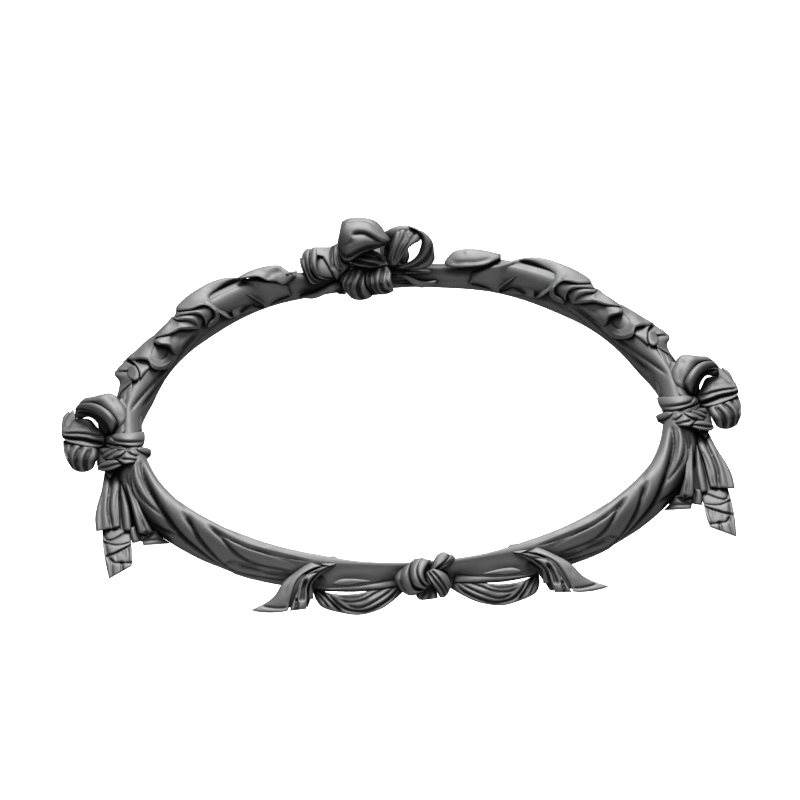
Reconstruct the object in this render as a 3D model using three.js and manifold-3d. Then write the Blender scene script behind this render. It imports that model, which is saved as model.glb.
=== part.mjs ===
// Round carved frame of draped cloth: a ring of gathered cloth with a bow at the top, a bow and two
// tails at each side and a knot with small swags at the bottom. One carved piece with a flat back.
// Millimetres, +Z up, front towards -Y. The origin is the hanging point on the back, top centre.

import * as THREE from 'three';
import { mergeVertices } from 'three/addons/utils/BufferGeometryUtils.js';
import Module from 'manifold-3d';

// Driving sizes
const OPENING = 596;
const BAR_WIDE = 46;
const BAR_DEEP = 44;
const MIDDLE = (OPENING + BAR_WIDE) / 2;
const BACK_CUT = 2;
const PAD_WIDE = 56;
const PAD_TALL = 26;
const PAD_DEEP = 14;

// Places on the bows, tails and knot are given as x to the right, y up from the ring's centre and h out
// of the wall, for a ring whose bar lies 321 from its centre. They grow with the ring.
const GROWN = MIDDLE / 321;
const at = (x, y, h) => new THREE.Vector3(x * GROWN, -h * GROWN, y * GROWN - MIDDLE);
const way = (x, y, h) => new THREE.Vector3(x, -h, y).normalize();
const FRONT = way(0, 0, 1);
const rad = THREE.MathUtils.degToRad;

/** Value at s, from 0 to 1, along evenly spaced values joined by straight lines. */
function blend(values, s) {
  if (!Array.isArray(values)) return values;
  const place = Math.min(Math.max(s, 0), 1) * (values.length - 1);
  const k = Math.min(Math.floor(place), values.length - 2);
  return values[k] + (values[k + 1] - values[k]) * (place - k);
}

/** The same along values placed at the given stops. */
function along(stops, values, s) {
  let k = 0;
  while (k < stops.length - 2 && s > stops[k + 1]) k += 1;
  const share = Math.min(Math.max((s - stops[k]) / (stops[k + 1] - stops[k]), 0), 1);
  const eased = share * share * (3 - 2 * share);
  return values[k] + (values[k + 1] - values[k]) * eased;
}

/** Evenly spaced points of a smooth curve through the given places. */
function smoothPath(places, steps) {
  const first = places[0].clone().multiplyScalar(2).sub(places[1]);
  const last = places.at(-1).clone().multiplyScalar(2).sub(places.at(-2));
  const all = [first, ...places, last];
  const dense = [];
  const share = 12;
  for (let k = 1; k < all.length - 2; k += 1) {
    for (let j = 0; j < share; j += 1) {
      const t = j / share;
      const [a, b, c, d] = [all[k - 1], all[k], all[k + 1], all[k + 2]];
      const point = new THREE.Vector3();
      point.addScaledVector(a, -0.5 * t + t * t - 0.5 * t ** 3);
      point.addScaledVector(b, 1 - 2.5 * t * t + 1.5 * t ** 3);
      point.addScaledVector(c, 0.5 * t + 2 * t * t - 1.5 * t ** 3);
      point.addScaledVector(d, -0.5 * t * t + 0.5 * t ** 3);
      dense.push(point);
    }
  }
  dense.push(places.at(-1).clone());
  const lengths = [0];
  for (let k = 1; k < dense.length; k += 1) {
    lengths.push(lengths[k - 1] + dense[k].distanceTo(dense[k - 1]));
  }
  const out = [];
  let k = 0;
  for (let j = 0; j <= steps; j += 1) {
    const want = (lengths.at(-1) * j) / steps;
    while (k < dense.length - 2 && lengths[k + 1] < want) k += 1;
    const t = (want - lengths[k]) / (lengths[k + 1] - lengths[k]);
    out.push(dense[k].clone().lerp(dense[k + 1], t));
  }
  return out;
}

/** Closed mesh from rings of equal count, closed by a point at each end. */
function skin(rings) {
  const count = rings[0].length;
  const points = rings.flat();
  const middle = (ring) => ring.reduce((sum, p) => sum.add(p), new THREE.Vector3()).divideScalar(count);
  const head = points.push(middle(rings[0])) - 1;
  const tail = points.push(middle(rings.at(-1))) - 1;
  const faces = [];
  for (let k = 0; k < count; k += 1) {
    const next = (k + 1) % count;
    for (let j = 0; j < rings.length - 1; j += 1) {
      const [a, b] = [j * count + k, j * count + next];
      faces.push(a, b, b + count, a, b + count, a + count);
    }
    faces.push(head, next, k);
    const end = (rings.length - 1) * count;
    faces.push(tail, end + k, end + next);
  }
  let volume = 0;
  for (let k = 0; k < faces.length; k += 3) {
    volume += points[faces[k]].dot(points[faces[k + 1]].clone().cross(points[faces[k + 2]]));
  }
  return { points, faces: volume < 0 ? faces.reverse() : faces };
}

/** Section of a pleated cloth: folds on the face side, plain behind. Across and through, -1 to 1. */
function pleats(folds, depth) {
  const section = [];
  const steps = folds * 2;
  for (let k = 0; k <= steps; k += 1) {
    const across = Math.sin((k / steps - 0.5) * Math.PI * 0.92) / Math.sin(Math.PI * 0.46);
    const dome = Math.sqrt(Math.max(0, 1 - (0.93 * across) ** 2));
    section.push([across, dome * (k % 2 ? 1 : 1 - depth)]);
  }
  section.push([0.75, -0.75], [-0.75, -0.75]);
  return section;
}

/** The section's rings along a path, its first and last drawn in to a rounded or hollow end. */
function closedRun(ring, { steps, thick, start, end }) {
  const cap = (s, kind, sign) => {
    const reach = 0.55 * blend(thick, s) * GROWN;
    return kind === 'round' ? ring(s, 0.55, sign * reach) : ring(s, 0.7, -sign * reach);
  };
  const rings = Array.from({ length: steps + 1 }, (_, k) => ring(k / steps, 1, 0));
  if (start !== 'flat') rings.unshift(cap(0, start, -1));
  if (end !== 'flat') rings.push(cap(1, end, 1));
  return skin(rings);
}

// How the folds look from the front and a little below
const SEEN = way(0, -0.8, 0.6);

/** A run of cloth along a smooth path. Width and thick are half sizes, face is where its folds look. */
function cloth(places, options) {
  const o = { width: 8, thick: 5, face: SEEN, folds: 1, depth: 0.1, steps: 4, start: 'flat', end: 'flat',
    ...options };
  const path = smoothPath(places, o.steps);
  const section = pleats(o.folds, o.depth);
  return closedRun((s, scale, push) => {
    const k = Math.round(s * o.steps);
    const run = path[Math.min(k + 1, o.steps)].clone().sub(path[Math.max(k - 1, 0)]).normalize();
    const face = o.face.clone().addScaledVector(run, -o.face.dot(run)).normalize();
    const side = run.clone().cross(face);
    return section.map(([across, through]) => path[k].clone()
      .addScaledVector(side, across * blend(o.width, s) * scale * GROWN)
      .addScaledVector(face, through * blend(o.thick, s) * scale * GROWN)
      .addScaledVector(run, push));
  }, o);
}

/**
 * Cloth spanned between two lines, with folds side by side. It bulges in the middle, reaches past
 * the lines by edge, and lets its folds run out past the creases by hem at the end.
 */
function drape(one, other, options) {
  const o = { folds: 4, depth: 0.4, thick: 6, edge: 3, bulge: 0, steps: 5, hem: 0, start: 'flat', end: 'flat',
    ...options };
  const [near, far] = [smoothPath(one, o.steps), smoothPath(other, o.steps)];
  const section = pleats(o.folds, o.depth);
  const tangent = (path, k) => path[Math.min(k + 1, o.steps)].clone().sub(path[Math.max(k - 1, 0)]);
  const outward = (k) => tangent(near, k).add(tangent(far, k)).cross(far[k].clone().sub(near[k])).normalize();
  const sign = near.reduce((sum, _, k) => sum + outward(k).dot(SEEN), 0) < 0 ? -1 : 1;
  return closedRun((s, scale, push) => {
    const k = Math.round(s * o.steps);
    const middle = near[k].clone().lerp(far[k], 0.5);
    const half = far[k].distanceTo(near[k]) / 2;
    const side = far[k].clone().sub(near[k]).normalize();
    const out = outward(k).multiplyScalar(sign);
    const run = tangent(near, k).add(tangent(far, k)).normalize();
    const thick = blend(o.thick, s) * GROWN;
    const edge = blend(o.edge, s) * GROWN;
    return section.map(([across, through], i) => middle.clone()
      .addScaledVector(side, across * (half + edge) * scale)
      .addScaledVector(out, through * thick * scale + (1 - across ** 2) * blend(o.bulge, s) * GROWN - thick)
      .addScaledVector(run, push + (s === 1 && i % 2 ? o.hem : 0)));
  }, o);
}

// The bar's half width and half height as shares, right half, by angle from the side, bottom to top
const BAR_STOPS = [-92, -78, -66, -50, -20, -6, 4, 20, 45, 66, 78, 92];
const WIDE_SHARES = [0.52, 0.52, 0.92, 1.07, 1.04, 0.93, 0.77, 0.9, 0.94, 0.84, 0.59, 0.57];
const DEEP_SHARES = [0.86, 0.86, 0.95, 1, 0.95, 0.95, 1, 1, 1, 0.91, 0.64, 0.55];
const barWide = (angle) => (along(BAR_STOPS, WIDE_SHARES, angle) * BAR_WIDE) / 2;
const barHigh = (angle) => (along(BAR_STOPS, DEEP_SHARES, angle) * BAR_DEEP) / 2;
const INNER_SWAY = [0, 0, -3, -1, 3, 2, 2, -7, -2, 5.5, 6, 5];
const barInside = (angle) => OPENING / 2 + along(BAR_STOPS, INNER_SWAY, angle) * GROWN;

/** Place on or off the bar: angle round the ring, turn round the bar (0 outside, 90 front), reach. */
function onBar(angle, turn, reach = 1, proud = 0) {
  const wide = barWide(angle);
  const high = barHigh(angle);
  const rise = proud * GROWN;
  const radius = barInside(angle) + wide + Math.cos(rad(turn)) * (wide * reach + rise);
  const height = high - BACK_CUT + Math.sin(rad(turn)) * (high * reach + rise);
  return new THREE.Vector3(Math.cos(rad(angle)) * radius, -height, Math.sin(rad(angle)) * radius - MIDDLE);
}

// Creases between the bar's folds as they leave the side wraps, by turn round the bar
const CREASES = [20, 62, 104, 150, 235, 278, 322];

/** The right half of the bar: gathered cloth whose folds turn round it below the side wraps. */
function bar() {
  const rings = [];
  const steps = 36;
  for (let k = 0; k <= steps; k += 1) {
    const angle = -91 + (182 * k) / steps;
    const twist = along([-91, -56, -14, 91], [165, 165, 0, 0], angle);
    const depth = along([-91, -74, -60, -10, 60, 91], [0.05, 0.07, 0.2, 0.24, 0.14, 0.1], angle);
    rings.push(CREASES.flatMap((crease, i) => {
      const wide = (CREASES[i + 1] ?? CREASES[0] + 360) - crease;
      const parts = Math.round(wide / 24);
      return Array.from({ length: parts }, (_, j) => {
        return onBar(angle, crease + (wide * j) / parts - twist, j ? 1 : 1 - depth);
      });
    }));
  }
  return skin(rings);
}

/**
 * A sleeve of cloth over the upper bar, from one angle down to its hem. The hem is given by turns
 * round the bar and the angle that it reaches at each. The sleeve rises to a lip there, and long folds
 * run slantwise down it.
 */
function sleeve(from, turns, angles, { base = 1, lip = 6, folds = 1.5, count = 18 }) {
  const steps = Math.max(3, Math.round((from - angles[1]) / 6));
  const [outer, inner] = [turns[0], turns.at(-1)];
  return skin(Array.from({ length: steps + 1 }, (_, k) => {
    const s = k / steps;
    return Array.from({ length: count }, (__, i) => {
      const share = i / (count - 4);
      if (share > 1) return onBar(from + (angles.at(-1) - from) * s, inner + (i - count + 4) * 40, 1, -5);
      const turn = outer + (inner - outer) * share;
      const angle = from + (along(turns, angles, turn) - from) * s;
      const fold = folds * Math.cos(rad(turn * 3.2 + s * 260)) * Math.sin(Math.PI * share);
      const edge = i === 0 || share === 1 ? -4 : 0;
      const rise = base * Math.min(1, s * 5) + (lip - base) * s * s * (3 - 2 * s);
      return onBar(angle, turn, 1, rise * along([20, 80], [0.5, 1], turn) + fold + edge);
    });
  }));
}

// Side bow, right hand: a shell of folds arching over, an open loop and a hanging loop
function sideBow() {
  return [
    drape([at(371, 61, 31), at(361, 50, 32), at(353, 34, 33), at(347, 22, 32), at(339, 14, 24)],
      [at(321, 65, 43), at(314, 50, 45), at(310, 34, 39), at(312, 24, 29), at(324, 12, 24)],
      { folds: 5, thick: 8, edge: 5, bulge: [13, 17, 20, 20, 10], steps: 7 }),
    cloth([at(352, 42, 20), at(342, 32, 22), at(328, 12, 20)], { width: 14, thick: 12, steps: 3 }),
    drape([at(377, 83, 14), at(386, 74, 15), at(390, 56, 17), at(389, 33, 21), at(388, 12, 23)],
      [at(362, 70, 12), at(368, 58, 13), at(374, 44, 14), at(380, 26, 18)],
      { folds: 2, depth: 0.3, thick: 4, bulge: 1 }),
    drape([at(387, 33, 24), at(373, 33, 26), at(360, 31, 26), at(339, 20, 22)],
      [at(391, 7, 26), at(372, -7, 30), at(356, -10, 28), at(338, -6, 22)],
      { folds: 3, thick: 6, bulge: 3, steps: 4 }),
    drape([at(386, 6, 22), at(391, -18, 28), at(391, -33, 24), at(385, -31, 10)],
      [at(349, -8, 20), at(355, -32, 28), at(357, -39, 23), at(357, -33, 10)],
      { folds: 5, thick: 8, edge: 4, bulge: 5 }),
    cloth([at(384, -4, 14), at(366, -14, 15), at(344, -14, 16)], { width: 18, thick: 12, steps: 3 }),
  ];
}

// Bands that tie the side bow to the bar
function sideWraps() {
  return [
    drape([at(296, 41, 27), at(298, 26, 27), at(299, 10, 27)],
      [at(304, 30, 40), at(309, 6, 43), at(313, -13, 43)], { folds: 2, thick: 4, steps: 3 }),
    drape([at(340, -1, 30), at(331, -19, 43), at(321, -24, 46), at(309, -20, 43), at(293, 2, 26)],
      [at(342, -6, 22), at(336, -31, 36), at(326, -39, 43), at(312, -38, 43), at(294, -11, 27)],
      { folds: 2, steps: 6 }),
    drape([at(341, -13, 21), at(336, -38, 37), at(326, -41, 44), at(312, -41, 45), at(298, -20, 32)],
      [at(345, -32, 17), at(340, -48, 32), at(325, -54, 44), at(304, -52, 42), at(290, -36, 30)],
      { folds: 2, steps: 6 }),
    drape([at(334, -50, 36), at(322, -54, 45), at(306, -62, 43), at(291, -44, 31)],
      [at(337, -62, 35), at(324, -73, 41), at(312, -77, 42), at(300, -68, 38)], { folds: 3 }),
    cloth([at(346, -18, 18), at(344, -44, 22), at(338, -66, 26)], {
      width: [8, 11, 9], thick: 11, folds: 2, steps: 3 }),
  ];
}

// Cloth below the side bow: a broad tail, a long end and pleats that flare to the bar
function sideTails() {
  return [
    drape([at(348, -62, 24), at(355, -106, 27), at(367, -182, 26)],
      [at(333, -62, 24), at(336, -105, 26), at(341, -184, 24)],
      { folds: 3, depth: 0.3, edge: [2, 4, 4], bulge: 3, hem: 2, end: 'cup' }),
    drape([at(356, -150, 21), at(360, -213, 24), at(360, -277, 24)],
      [at(336, -150, 20), at(334, -214, 23), at(335, -252, 23)],
      { folds: 3, depth: 0.25, thick: 5, edge: 5, bulge: 2, hem: 1, end: 'cup' }),
    drape([at(331, -60, 24), at(329, -107, 27), at(328, -150, 28), at(333, -193, 24)],
      [at(321, -54, 24), at(318, -124, 26), at(308, -166, 22), at(286, -201, 14)],
      { folds: 4, depth: 0.5, edge: [2, 4], bulge: [2, 4, 5], steps: 6, hem: 4, end: 'cup' }),
    cloth([at(338, -56, 16), at(338, -110, 17), at(336, -172, 16)], {
      width: [10, 12, 14], thick: 6, steps: 3 }),
    cloth([at(342, -56, 26), at(345, -77, 26)], { width: [10, 2], thick: [5, 3], steps: 1 }),
  ];
}

// Upper cloth: sleeves stepping down the bar, a strand framing a window of cloth, a roll and a curl
function upperCloth() {
  return [
    sleeve(86, [-20, 40, 76, 102, 122, 138, 156, 178], [41, 42, 43, 46, 48.4, 48, 45.5, 55], {
      base: 5, lip: 10.5, folds: 2, count: 24 }),
    sleeve(58, [-20, 40, 84, 110, 140, 168], [36, 38, 40, 44.5, 45.6, 46], { lip: 7, count: 20 }),
    sleeve(48, [-20, 40, 80, 104, 135, 174], [27, 29, 31.4, 30.3, 32, 35], { lip: 7, count: 20 }),
    sleeve(38, [-20, 10, 36, 60, 102, 124, 145, 178], [22, 23, 24.5, 24, 24.2, 22.4, 24.5, 33], {
      lip: 5.5, count: 22 }),
    sleeve(30, [-10, 30, 60, 86, 112, 134], [19, 21.5, 22, 20.3, 17.4, 25], { lip: 3.5, folds: 0.5 }),
    cloth([at(297, 150, 34), at(298, 136, 26), at(293, 126, 16)], { width: 8, thick: 7, folds: 2, steps: 3 }),
    cloth([at(313, 136, 28), at(309, 106, 29), at(317, 66, 30)], {
      width: [10, 7, 3], thick: [9, 6, 3], steps: 3, start: 'round' }),
    cloth([at(180, 226, 27), at(181, 250, 35), at(160, 258, 40), at(140, 256, 26)], {
      width: 3.5, thick: 4, steps: 5, end: 'round' }),
  ];
}

// Ribbon over the lower bar with a flared tail, a hanging swag and the strand above it
function lowerCloth() {
  return [
    drape([at(95, -302, 38), at(131, -310, 43), at(156, -337, 43), at(178, -366, 43), at(208, -391, 40)],
      [at(118, -313, 34), at(131, -331, 36), at(139, -351, 36), at(143, -390, 34)],
      { folds: 4, thick: [4, 5, 6, 5, 4], bulge: [1, 3, 3], steps: 7, hem: 3, end: 'cup' }),
    cloth([at(133, -316, 16), at(111, -322, 15), at(88, -327, 15), at(60, -327, 17), at(26, -322, 22)], {
      width: 4, thick: 6, steps: 5 }),
    drape([at(114, -328, 22), at(99, -346, 25), at(74, -349, 26), at(51, -342, 24), at(29, -324, 21)],
      [at(132, -320, 20), at(118, -354, 19), at(87, -371, 14), at(54, -358, 14), at(25, -332, 18)],
      { folds: 4, thick: 7, bulge: 3, steps: 7 }),
    cloth([at(134, -306, 18), at(126, -334, 18)], { width: 12, thick: 9, steps: 1 }),
  ];
}

// Bottom knot, not mirrored: a coil, strands that cross it, a lobe below and a stub
function bottomKnot() {
  return [
    drape([at(-26, -296, 28), at(-32, -316, 33), at(-34, -333, 34), at(-32, -342, 29), at(-22, -340, 14)],
      [at(5, -303, 36), at(2, -324, 42), at(-1, -338, 43), at(-1, -348, 34), at(-1, -342, 18)],
      { folds: 4, thick: 8, bulge: [6, 9, 9, 7, 3], steps: 7 }),
    drape([at(-5, -334, 43), at(-1, -352, 42), at(5, -357, 33), at(8, -352, 16)],
      [at(8, -324, 39), at(16, -341, 42), at(20, -350, 32), at(20, -344, 16)],
      { folds: 4, thick: 7, bulge: [2, 3], steps: 4 }),
    drape([at(0, -327, 38), at(12, -317, 43), at(21, -304, 43)],
      [at(8, -326, 34), at(24, -320, 38), at(38, -308, 36)], { folds: 2, depth: 0.3, bulge: 2, steps: 3 }),
    cloth([at(-22, -322, 20), at(0, -328, 22), at(18, -332, 20)], { width: 22, thick: 14, steps: 3 }),
  ];
}

// Top bow, not mirrored: three loops, two hanging bundles, cloth ends and flaps
function topBow() {
  return [
    drape([at(-82, 350, 33), at(-87, 329, 37), at(-86, 311, 36), at(-79, 295, 30), at(-60, 293, 22)],
      [at(-71, 350, 37), at(-75, 325, 43), at(-76, 308, 42), at(-71, 298, 35), at(-56, 297, 28)],
      { folds: 2, bulge: 2 }),
    drape([at(-80, 346, 27), at(-66, 347, 31), at(-48, 346, 31)],
      [at(-76, 302, 20), at(-66, 300, 21), at(-54, 300, 22)], { folds: 2, depth: 0.2, thick: 8, steps: 3 }),
    drape([at(-68, 349, 40), at(-63, 328, 43), at(-59, 311, 41), at(-52, 292, 33)],
      [at(-43, 349, 36), at(-46, 328, 39), at(-47, 305, 40), at(-46, 291, 34)],
      { folds: 3, bulge: [4, 3, 2, 1] }),
    drape([at(-35, 341, 44), at(-33, 352, 61), at(-20, 357, 67), at(-4, 354, 65), at(7, 343, 60),
      at(17, 331, 51)], [at(-40, 328, 34), at(-42, 323, 45), at(-38, 308, 45), at(-22, 306, 49),
      at(-6, 313, 50), at(12, 324, 48)],
      { folds: 4, depth: 0.3, thick: 9, bulge: [8, 15, 18, 15, 8, 3], steps: 8 }),
    drape([at(12, 308, 36), at(0, 309, 47), at(-9, 311, 50), at(-20, 314, 48)],
      [at(2, 298, 34), at(-13, 295, 42), at(-24, 297, 43), at(-34, 305, 41)],
      { folds: 3, thick: 7, bulge: 3, steps: 4 }),
    cloth([at(-40, 322, 26), at(-15, 328, 36), at(16, 324, 38)], {
      width: [14, 17, 13], thick: [16, 20, 16], folds: 2, steps: 3, face: FRONT }),
    drape([at(19, 348, 54), at(14, 334, 51), at(9, 322, 45), at(7, 310, 34)],
      [at(50, 346, 58), at(39, 328, 52), at(30, 318, 43), at(26, 306, 30)],
      { folds: 4, thick: 7, bulge: [5, 8, 7, 4], steps: 4 }),
    drape([at(34, 345, 57), at(56, 333, 59), at(60, 313, 48), at(43, 300, 37), at(18, 301, 31)],
      [at(42, 349, 45), at(63, 333, 45), at(66, 314, 38), at(50, 301, 30), at(26, 299, 24)],
      { folds: 3, thick: 6, edge: 4, bulge: 2, steps: 7 }),
    drape([at(-35, 298, 34), at(-41, 276, 38), at(-42, 263, 34), at(-36, 262, 18)],
      [at(-13, 296, 34), at(-17, 270, 38), at(-17, 258, 34), at(-13, 262, 18)],
      { folds: 5, depth: 0.5, thick: 8, bulge: 5 }),
    drape([at(-8, 298, 34), at(-14, 273, 38), at(-15, 261, 34), at(-10, 264, 18)],
      [at(12, 296, 36), at(12, 272, 38), at(14, 261, 34), at(12, 266, 18)],
      { folds: 5, depth: 0.5, thick: 8, bulge: 5 }),
    cloth([at(-46, 306, 22), at(0, 310, 24), at(26, 312, 22)], {
      width: 14, thick: 18, folds: 2, steps: 2, face: FRONT }),
    drape([at(-92, 300, 14), at(-72, 299, 20), at(-50, 296, 24)],
      [at(-90, 289, 10), at(-68, 281, 16), at(-44, 285, 20)],
      { folds: 3, thick: 5, edge: 2, bulge: 1, steps: 3 }),
    drape([at(20, 304, 22), at(46, 304, 24), at(70, 307, 22)],
      [at(22, 292, 20), at(44, 285, 17), at(68, 294, 14)],
      { folds: 3, thick: 5, edge: 2, bulge: 1, steps: 3 }),
    drape([at(-96, 296, 21), at(-116, 304, 36), at(-143, 300, 43), at(-166, 291, 41)],
      [at(-94, 284, 18), at(-116, 289, 33), at(-138, 287, 40), at(-158, 286, 38)],
      { folds: 2, depth: 0.2, thick: [6, 5, 4, 3], bulge: 1, steps: 4 }),
    drape([at(70, 306, 24), at(94, 315, 44), at(118, 309, 45), at(142, 301, 42)],
      [at(76, 288, 20), at(98, 290, 36), at(116, 290, 40), at(136, 293, 40)],
      { folds: 2, depth: 0.2, thick: [6, 5, 4, 3], bulge: 1, steps: 4 }),
    cloth([at(-108, 310, 24), at(-94, 317, 24)], { width: [3, 1], thick: [3, 1], steps: 1 }),
    cloth([at(90, 318, 22), at(71, 329, 25)], { width: [3, 1], thick: [3, 1], steps: 1 }),
  ];
}

/** The same mesh on the other hand. */
function mirrored({ points, faces }) {
  const flipped = [];
  for (let k = 0; k < faces.length; k += 3) flipped.push(faces[k], faces[k + 2], faces[k + 1]);
  return { points: points.map((p) => new THREE.Vector3(-p.x, p.y, p.z)), faces: flipped };
}

function plainGeometry(pieces) {
  const geometry = new THREE.BufferGeometry();
  const places = pieces.points.flatMap((p) => p.toArray());
  geometry.setAttribute('position', new THREE.Float32BufferAttribute(places, 3));
  geometry.setIndex(pieces.faces);
  return geometry;
}

const wasm = await Module();
wasm.setup();

function solid(source) {
  const geometry = source.clone();
  geometry.deleteAttribute('normal');
  geometry.deleteAttribute('uv');
  const merged = mergeVertices(geometry, 1e-4);
  return new wasm.Manifold(new wasm.Mesh({
    numProp: 3,
    vertProperties: new Float32Array(merged.attributes.position.array),
    triVerts: new Uint32Array(merged.index.array),
  }));
}

/** Draws together the ends of short edges that joining leaves, where no face would turn far. */
function drawnTogether(mesh, shortest) {
  const places = [];
  for (let k = 0; k < mesh.vertProperties.length; k += 3) {
    places.push(new THREE.Vector3(...mesh.vertProperties.slice(k, k + 3)));
  }
  const faces = [];
  const around = places.map(() => new Set());
  for (let k = 0; k < mesh.triVerts.length; k += 3) {
    faces.push([...mesh.triVerts.slice(k, k + 3)]);
    for (const corner of faces.at(-1)) around[corner].add(faces.length - 1);
  }
  const normal = ([a, b, c]) => b.clone().sub(a).cross(c.clone().sub(a));
  const neighbours = (v) => new Set([...around[v]].flatMap((f) => faces[f]).filter((w) => w !== v));
  const turned = (a, b, place) => {
    let worst = 1;
    for (const f of new Set([...around[a], ...around[b]])) {
      if (faces[f].includes(a) && faces[f].includes(b)) continue;
      const before = normal(faces[f].map((v) => places[v]));
      const after = normal(faces[f].map((v) => (v === a || v === b ? place : places[v])));
      if (after.length() < 0.02) return -1;
      if (before.length() > 0.05) worst = Math.min(worst, before.normalize().dot(after.normalize()));
    }
    return worst;
  };
  for (let round = 0; round < 6; round += 1) {
    const edges = [];
    faces.forEach((face, f) => face && face.forEach((a, i) => {
      const b = face[(i + 1) % 3];
      const length = places[a].distanceTo(places[b]);
      if (a < b && length < shortest) edges.push([length, a, b, f]);
    }));
    edges.sort((one, two) => one[0] - two[0]);
    for (const [, a, b, f] of edges) {
      if (!faces[f] || !faces[f].includes(a) || !faces[f].includes(b)) continue;
      const shared = [...neighbours(a)].filter((v) => neighbours(b).has(v));
      if (shared.length !== 2) continue;
      const middle = places[a].clone().lerp(places[b], 0.5);
      const choices = [places[a], places[b], middle].map((place) => [turned(a, b, place), place]);
      const [worst, place] = choices.reduce((best, next) => (next[0] > best[0] ? next : best));
      if (worst < 0.6) continue;
      places[a] = place.clone();
      for (const g of [...around[b]]) {
        around[b].delete(g);
        if (faces[g].includes(a)) {
          for (const v of faces[g]) around[v].delete(g);
          faces[g] = null;
        } else {
          faces[g] = faces[g].map((v) => (v === b ? a : v));
          around[a].add(g);
        }
      }
    }
  }
  return { points: places, faces: faces.filter(Boolean).flat() };
}

/** Draws apart, by a hair, the places where two folds only touch, so that the skin stays single. */
function partedTouches(mesh) {
  const places = Array.from({ length: mesh.vertProperties.length / 3 }, (_, k) => {
    return new THREE.Vector3(...mesh.vertProperties.slice(3 * k, 3 * k + 3));
  });
  const faces = [...mesh.triVerts];
  const seen = new Map();
  places.forEach((p, k) => {
    const key = p.toArray().map((c) => c.toFixed(3)).join();
    seen.set(key, [...(seen.get(key) ?? []), k]);
  });
  for (const twins of seen.values()) {
    if (twins.length < 2) continue;
    for (const twin of twins) {
      const around = new THREE.Vector3();
      let count = 0;
      faces.forEach((v, k) => {
        if (v !== twin) return;
        const first = k - (k % 3);
        for (const w of faces.slice(first, first + 3)) around.add(places[w]);
        count += 3;
      });
      places[twin] = places[twin].clone().lerp(around.divideScalar(count), 0.03);
    }
  }
  return { points: places, faces };
}

function buildFrame() {
  const paired = [bar(), ...upperCloth(), ...sideBow(), ...sideWraps(), ...sideTails(), ...lowerCloth()];
  const runs = [...paired, ...paired.map(mirrored), ...bottomKnot(), ...topBow()];
  const pad = new THREE.BoxGeometry(PAD_WIDE, PAD_DEEP, PAD_TALL);
  pad.translate(0, -PAD_DEEP / 2, 0);
  let whole = solid(pad);
  for (const run of runs) whole = whole.add(solid(plainGeometry(run)));
  const largest = whole.decompose().reduce((best, next) => (next.volume() > best.volume() ? next : best));
  const drawn = solid(plainGeometry(drawnTogether(largest.simplify(0.4).getMesh(), 2.5)));
  const wall = new THREE.BoxGeometry(4 * MIDDLE, MIDDLE, 4 * MIDDLE);
  wall.translate(0, MIDDLE / 2, -MIDDLE);
  const geometry = plainGeometry(partedTouches(drawn.subtract(solid(wall)).simplify(0.05).getMesh()));
  geometry.computeVertexNormals();
  return geometry;
}

const finish = new THREE.MeshStandardMaterial({ color: 0x5b5b5b, roughness: 0.45, metalness: 0.0 });
const frame = new THREE.Mesh(buildFrame(), finish);
frame.name = 'carved_frame';

const group = new THREE.Group();
group.add(frame);

export default group;
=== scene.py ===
"""Dresses the round carved drapery frame: fine carving, satin graphite finish, light and camera.

Lengths are millimetres in the ring's own frame: x to the right, y up from the ring's centre and h out
of the wall. They become metres in the part's frame when the carving is put together. Cloths are written
as they were drawn: steps to the right and down in a sketch, then the height out of the wall, or off the
bar's front where they lie on the bar.
"""

import logging
import math
from collections.abc import Sequence
from dataclasses import dataclass
from enum import Enum
from functools import cache

import bpy
import numpy as np
from mathutils import Matrix, Vector

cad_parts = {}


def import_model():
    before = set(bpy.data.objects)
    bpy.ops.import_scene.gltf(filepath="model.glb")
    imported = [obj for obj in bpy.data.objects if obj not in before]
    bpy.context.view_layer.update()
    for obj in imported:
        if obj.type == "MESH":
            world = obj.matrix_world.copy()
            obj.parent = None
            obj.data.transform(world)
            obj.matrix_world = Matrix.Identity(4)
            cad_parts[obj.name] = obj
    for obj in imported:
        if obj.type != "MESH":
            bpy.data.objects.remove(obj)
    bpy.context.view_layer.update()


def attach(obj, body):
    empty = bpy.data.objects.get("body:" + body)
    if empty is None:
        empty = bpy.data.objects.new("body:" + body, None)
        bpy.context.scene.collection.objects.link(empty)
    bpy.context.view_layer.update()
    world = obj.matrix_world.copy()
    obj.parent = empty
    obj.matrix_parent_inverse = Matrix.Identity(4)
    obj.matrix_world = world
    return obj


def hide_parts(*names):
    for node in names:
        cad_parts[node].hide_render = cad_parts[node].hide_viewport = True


log = logging.getLogger("carved frame")

Place = tuple[float, float, float]

# How far the ring's centre lies below the part's origin, and the box in which the carving stays.
MIDDLE = 321.0
LEAST: Place = (-394.8, -393.4, 0.05)
MOST: Place = (394.8, 361.4, 74.2)
# From the object to the camera.
LOOK = np.array([-0.06, -0.826, 0.56])
MOST_FACES = 190_000
# Points along a traced edge, points to each place of a crease, and the side of a cloth's facets.
DENSE = 120
PER_PLACE = 5
FACET = 1.3
# How much deeper creases are carved than they were drawn.
BOLD = 1.9
# Share of a crease's length over which each end runs out.
RUN_OUT = 0.15
# How far right in the sketch the fine pleats of the tail's end lie.
PLEATS = (117, 119.8, 122.6, 125.4, 128.2)


class Hand(Enum):
    """Where a part of the carving stands."""

    PAIRED = "on the left, and mirrored on the right"
    SINGLE = "once"


def numbers(text: str) -> np.ndarray:
    """Rows of numbers from text, in which commas part the rows."""
    return np.array([row.split() for row in text.split(",")], float)


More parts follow.
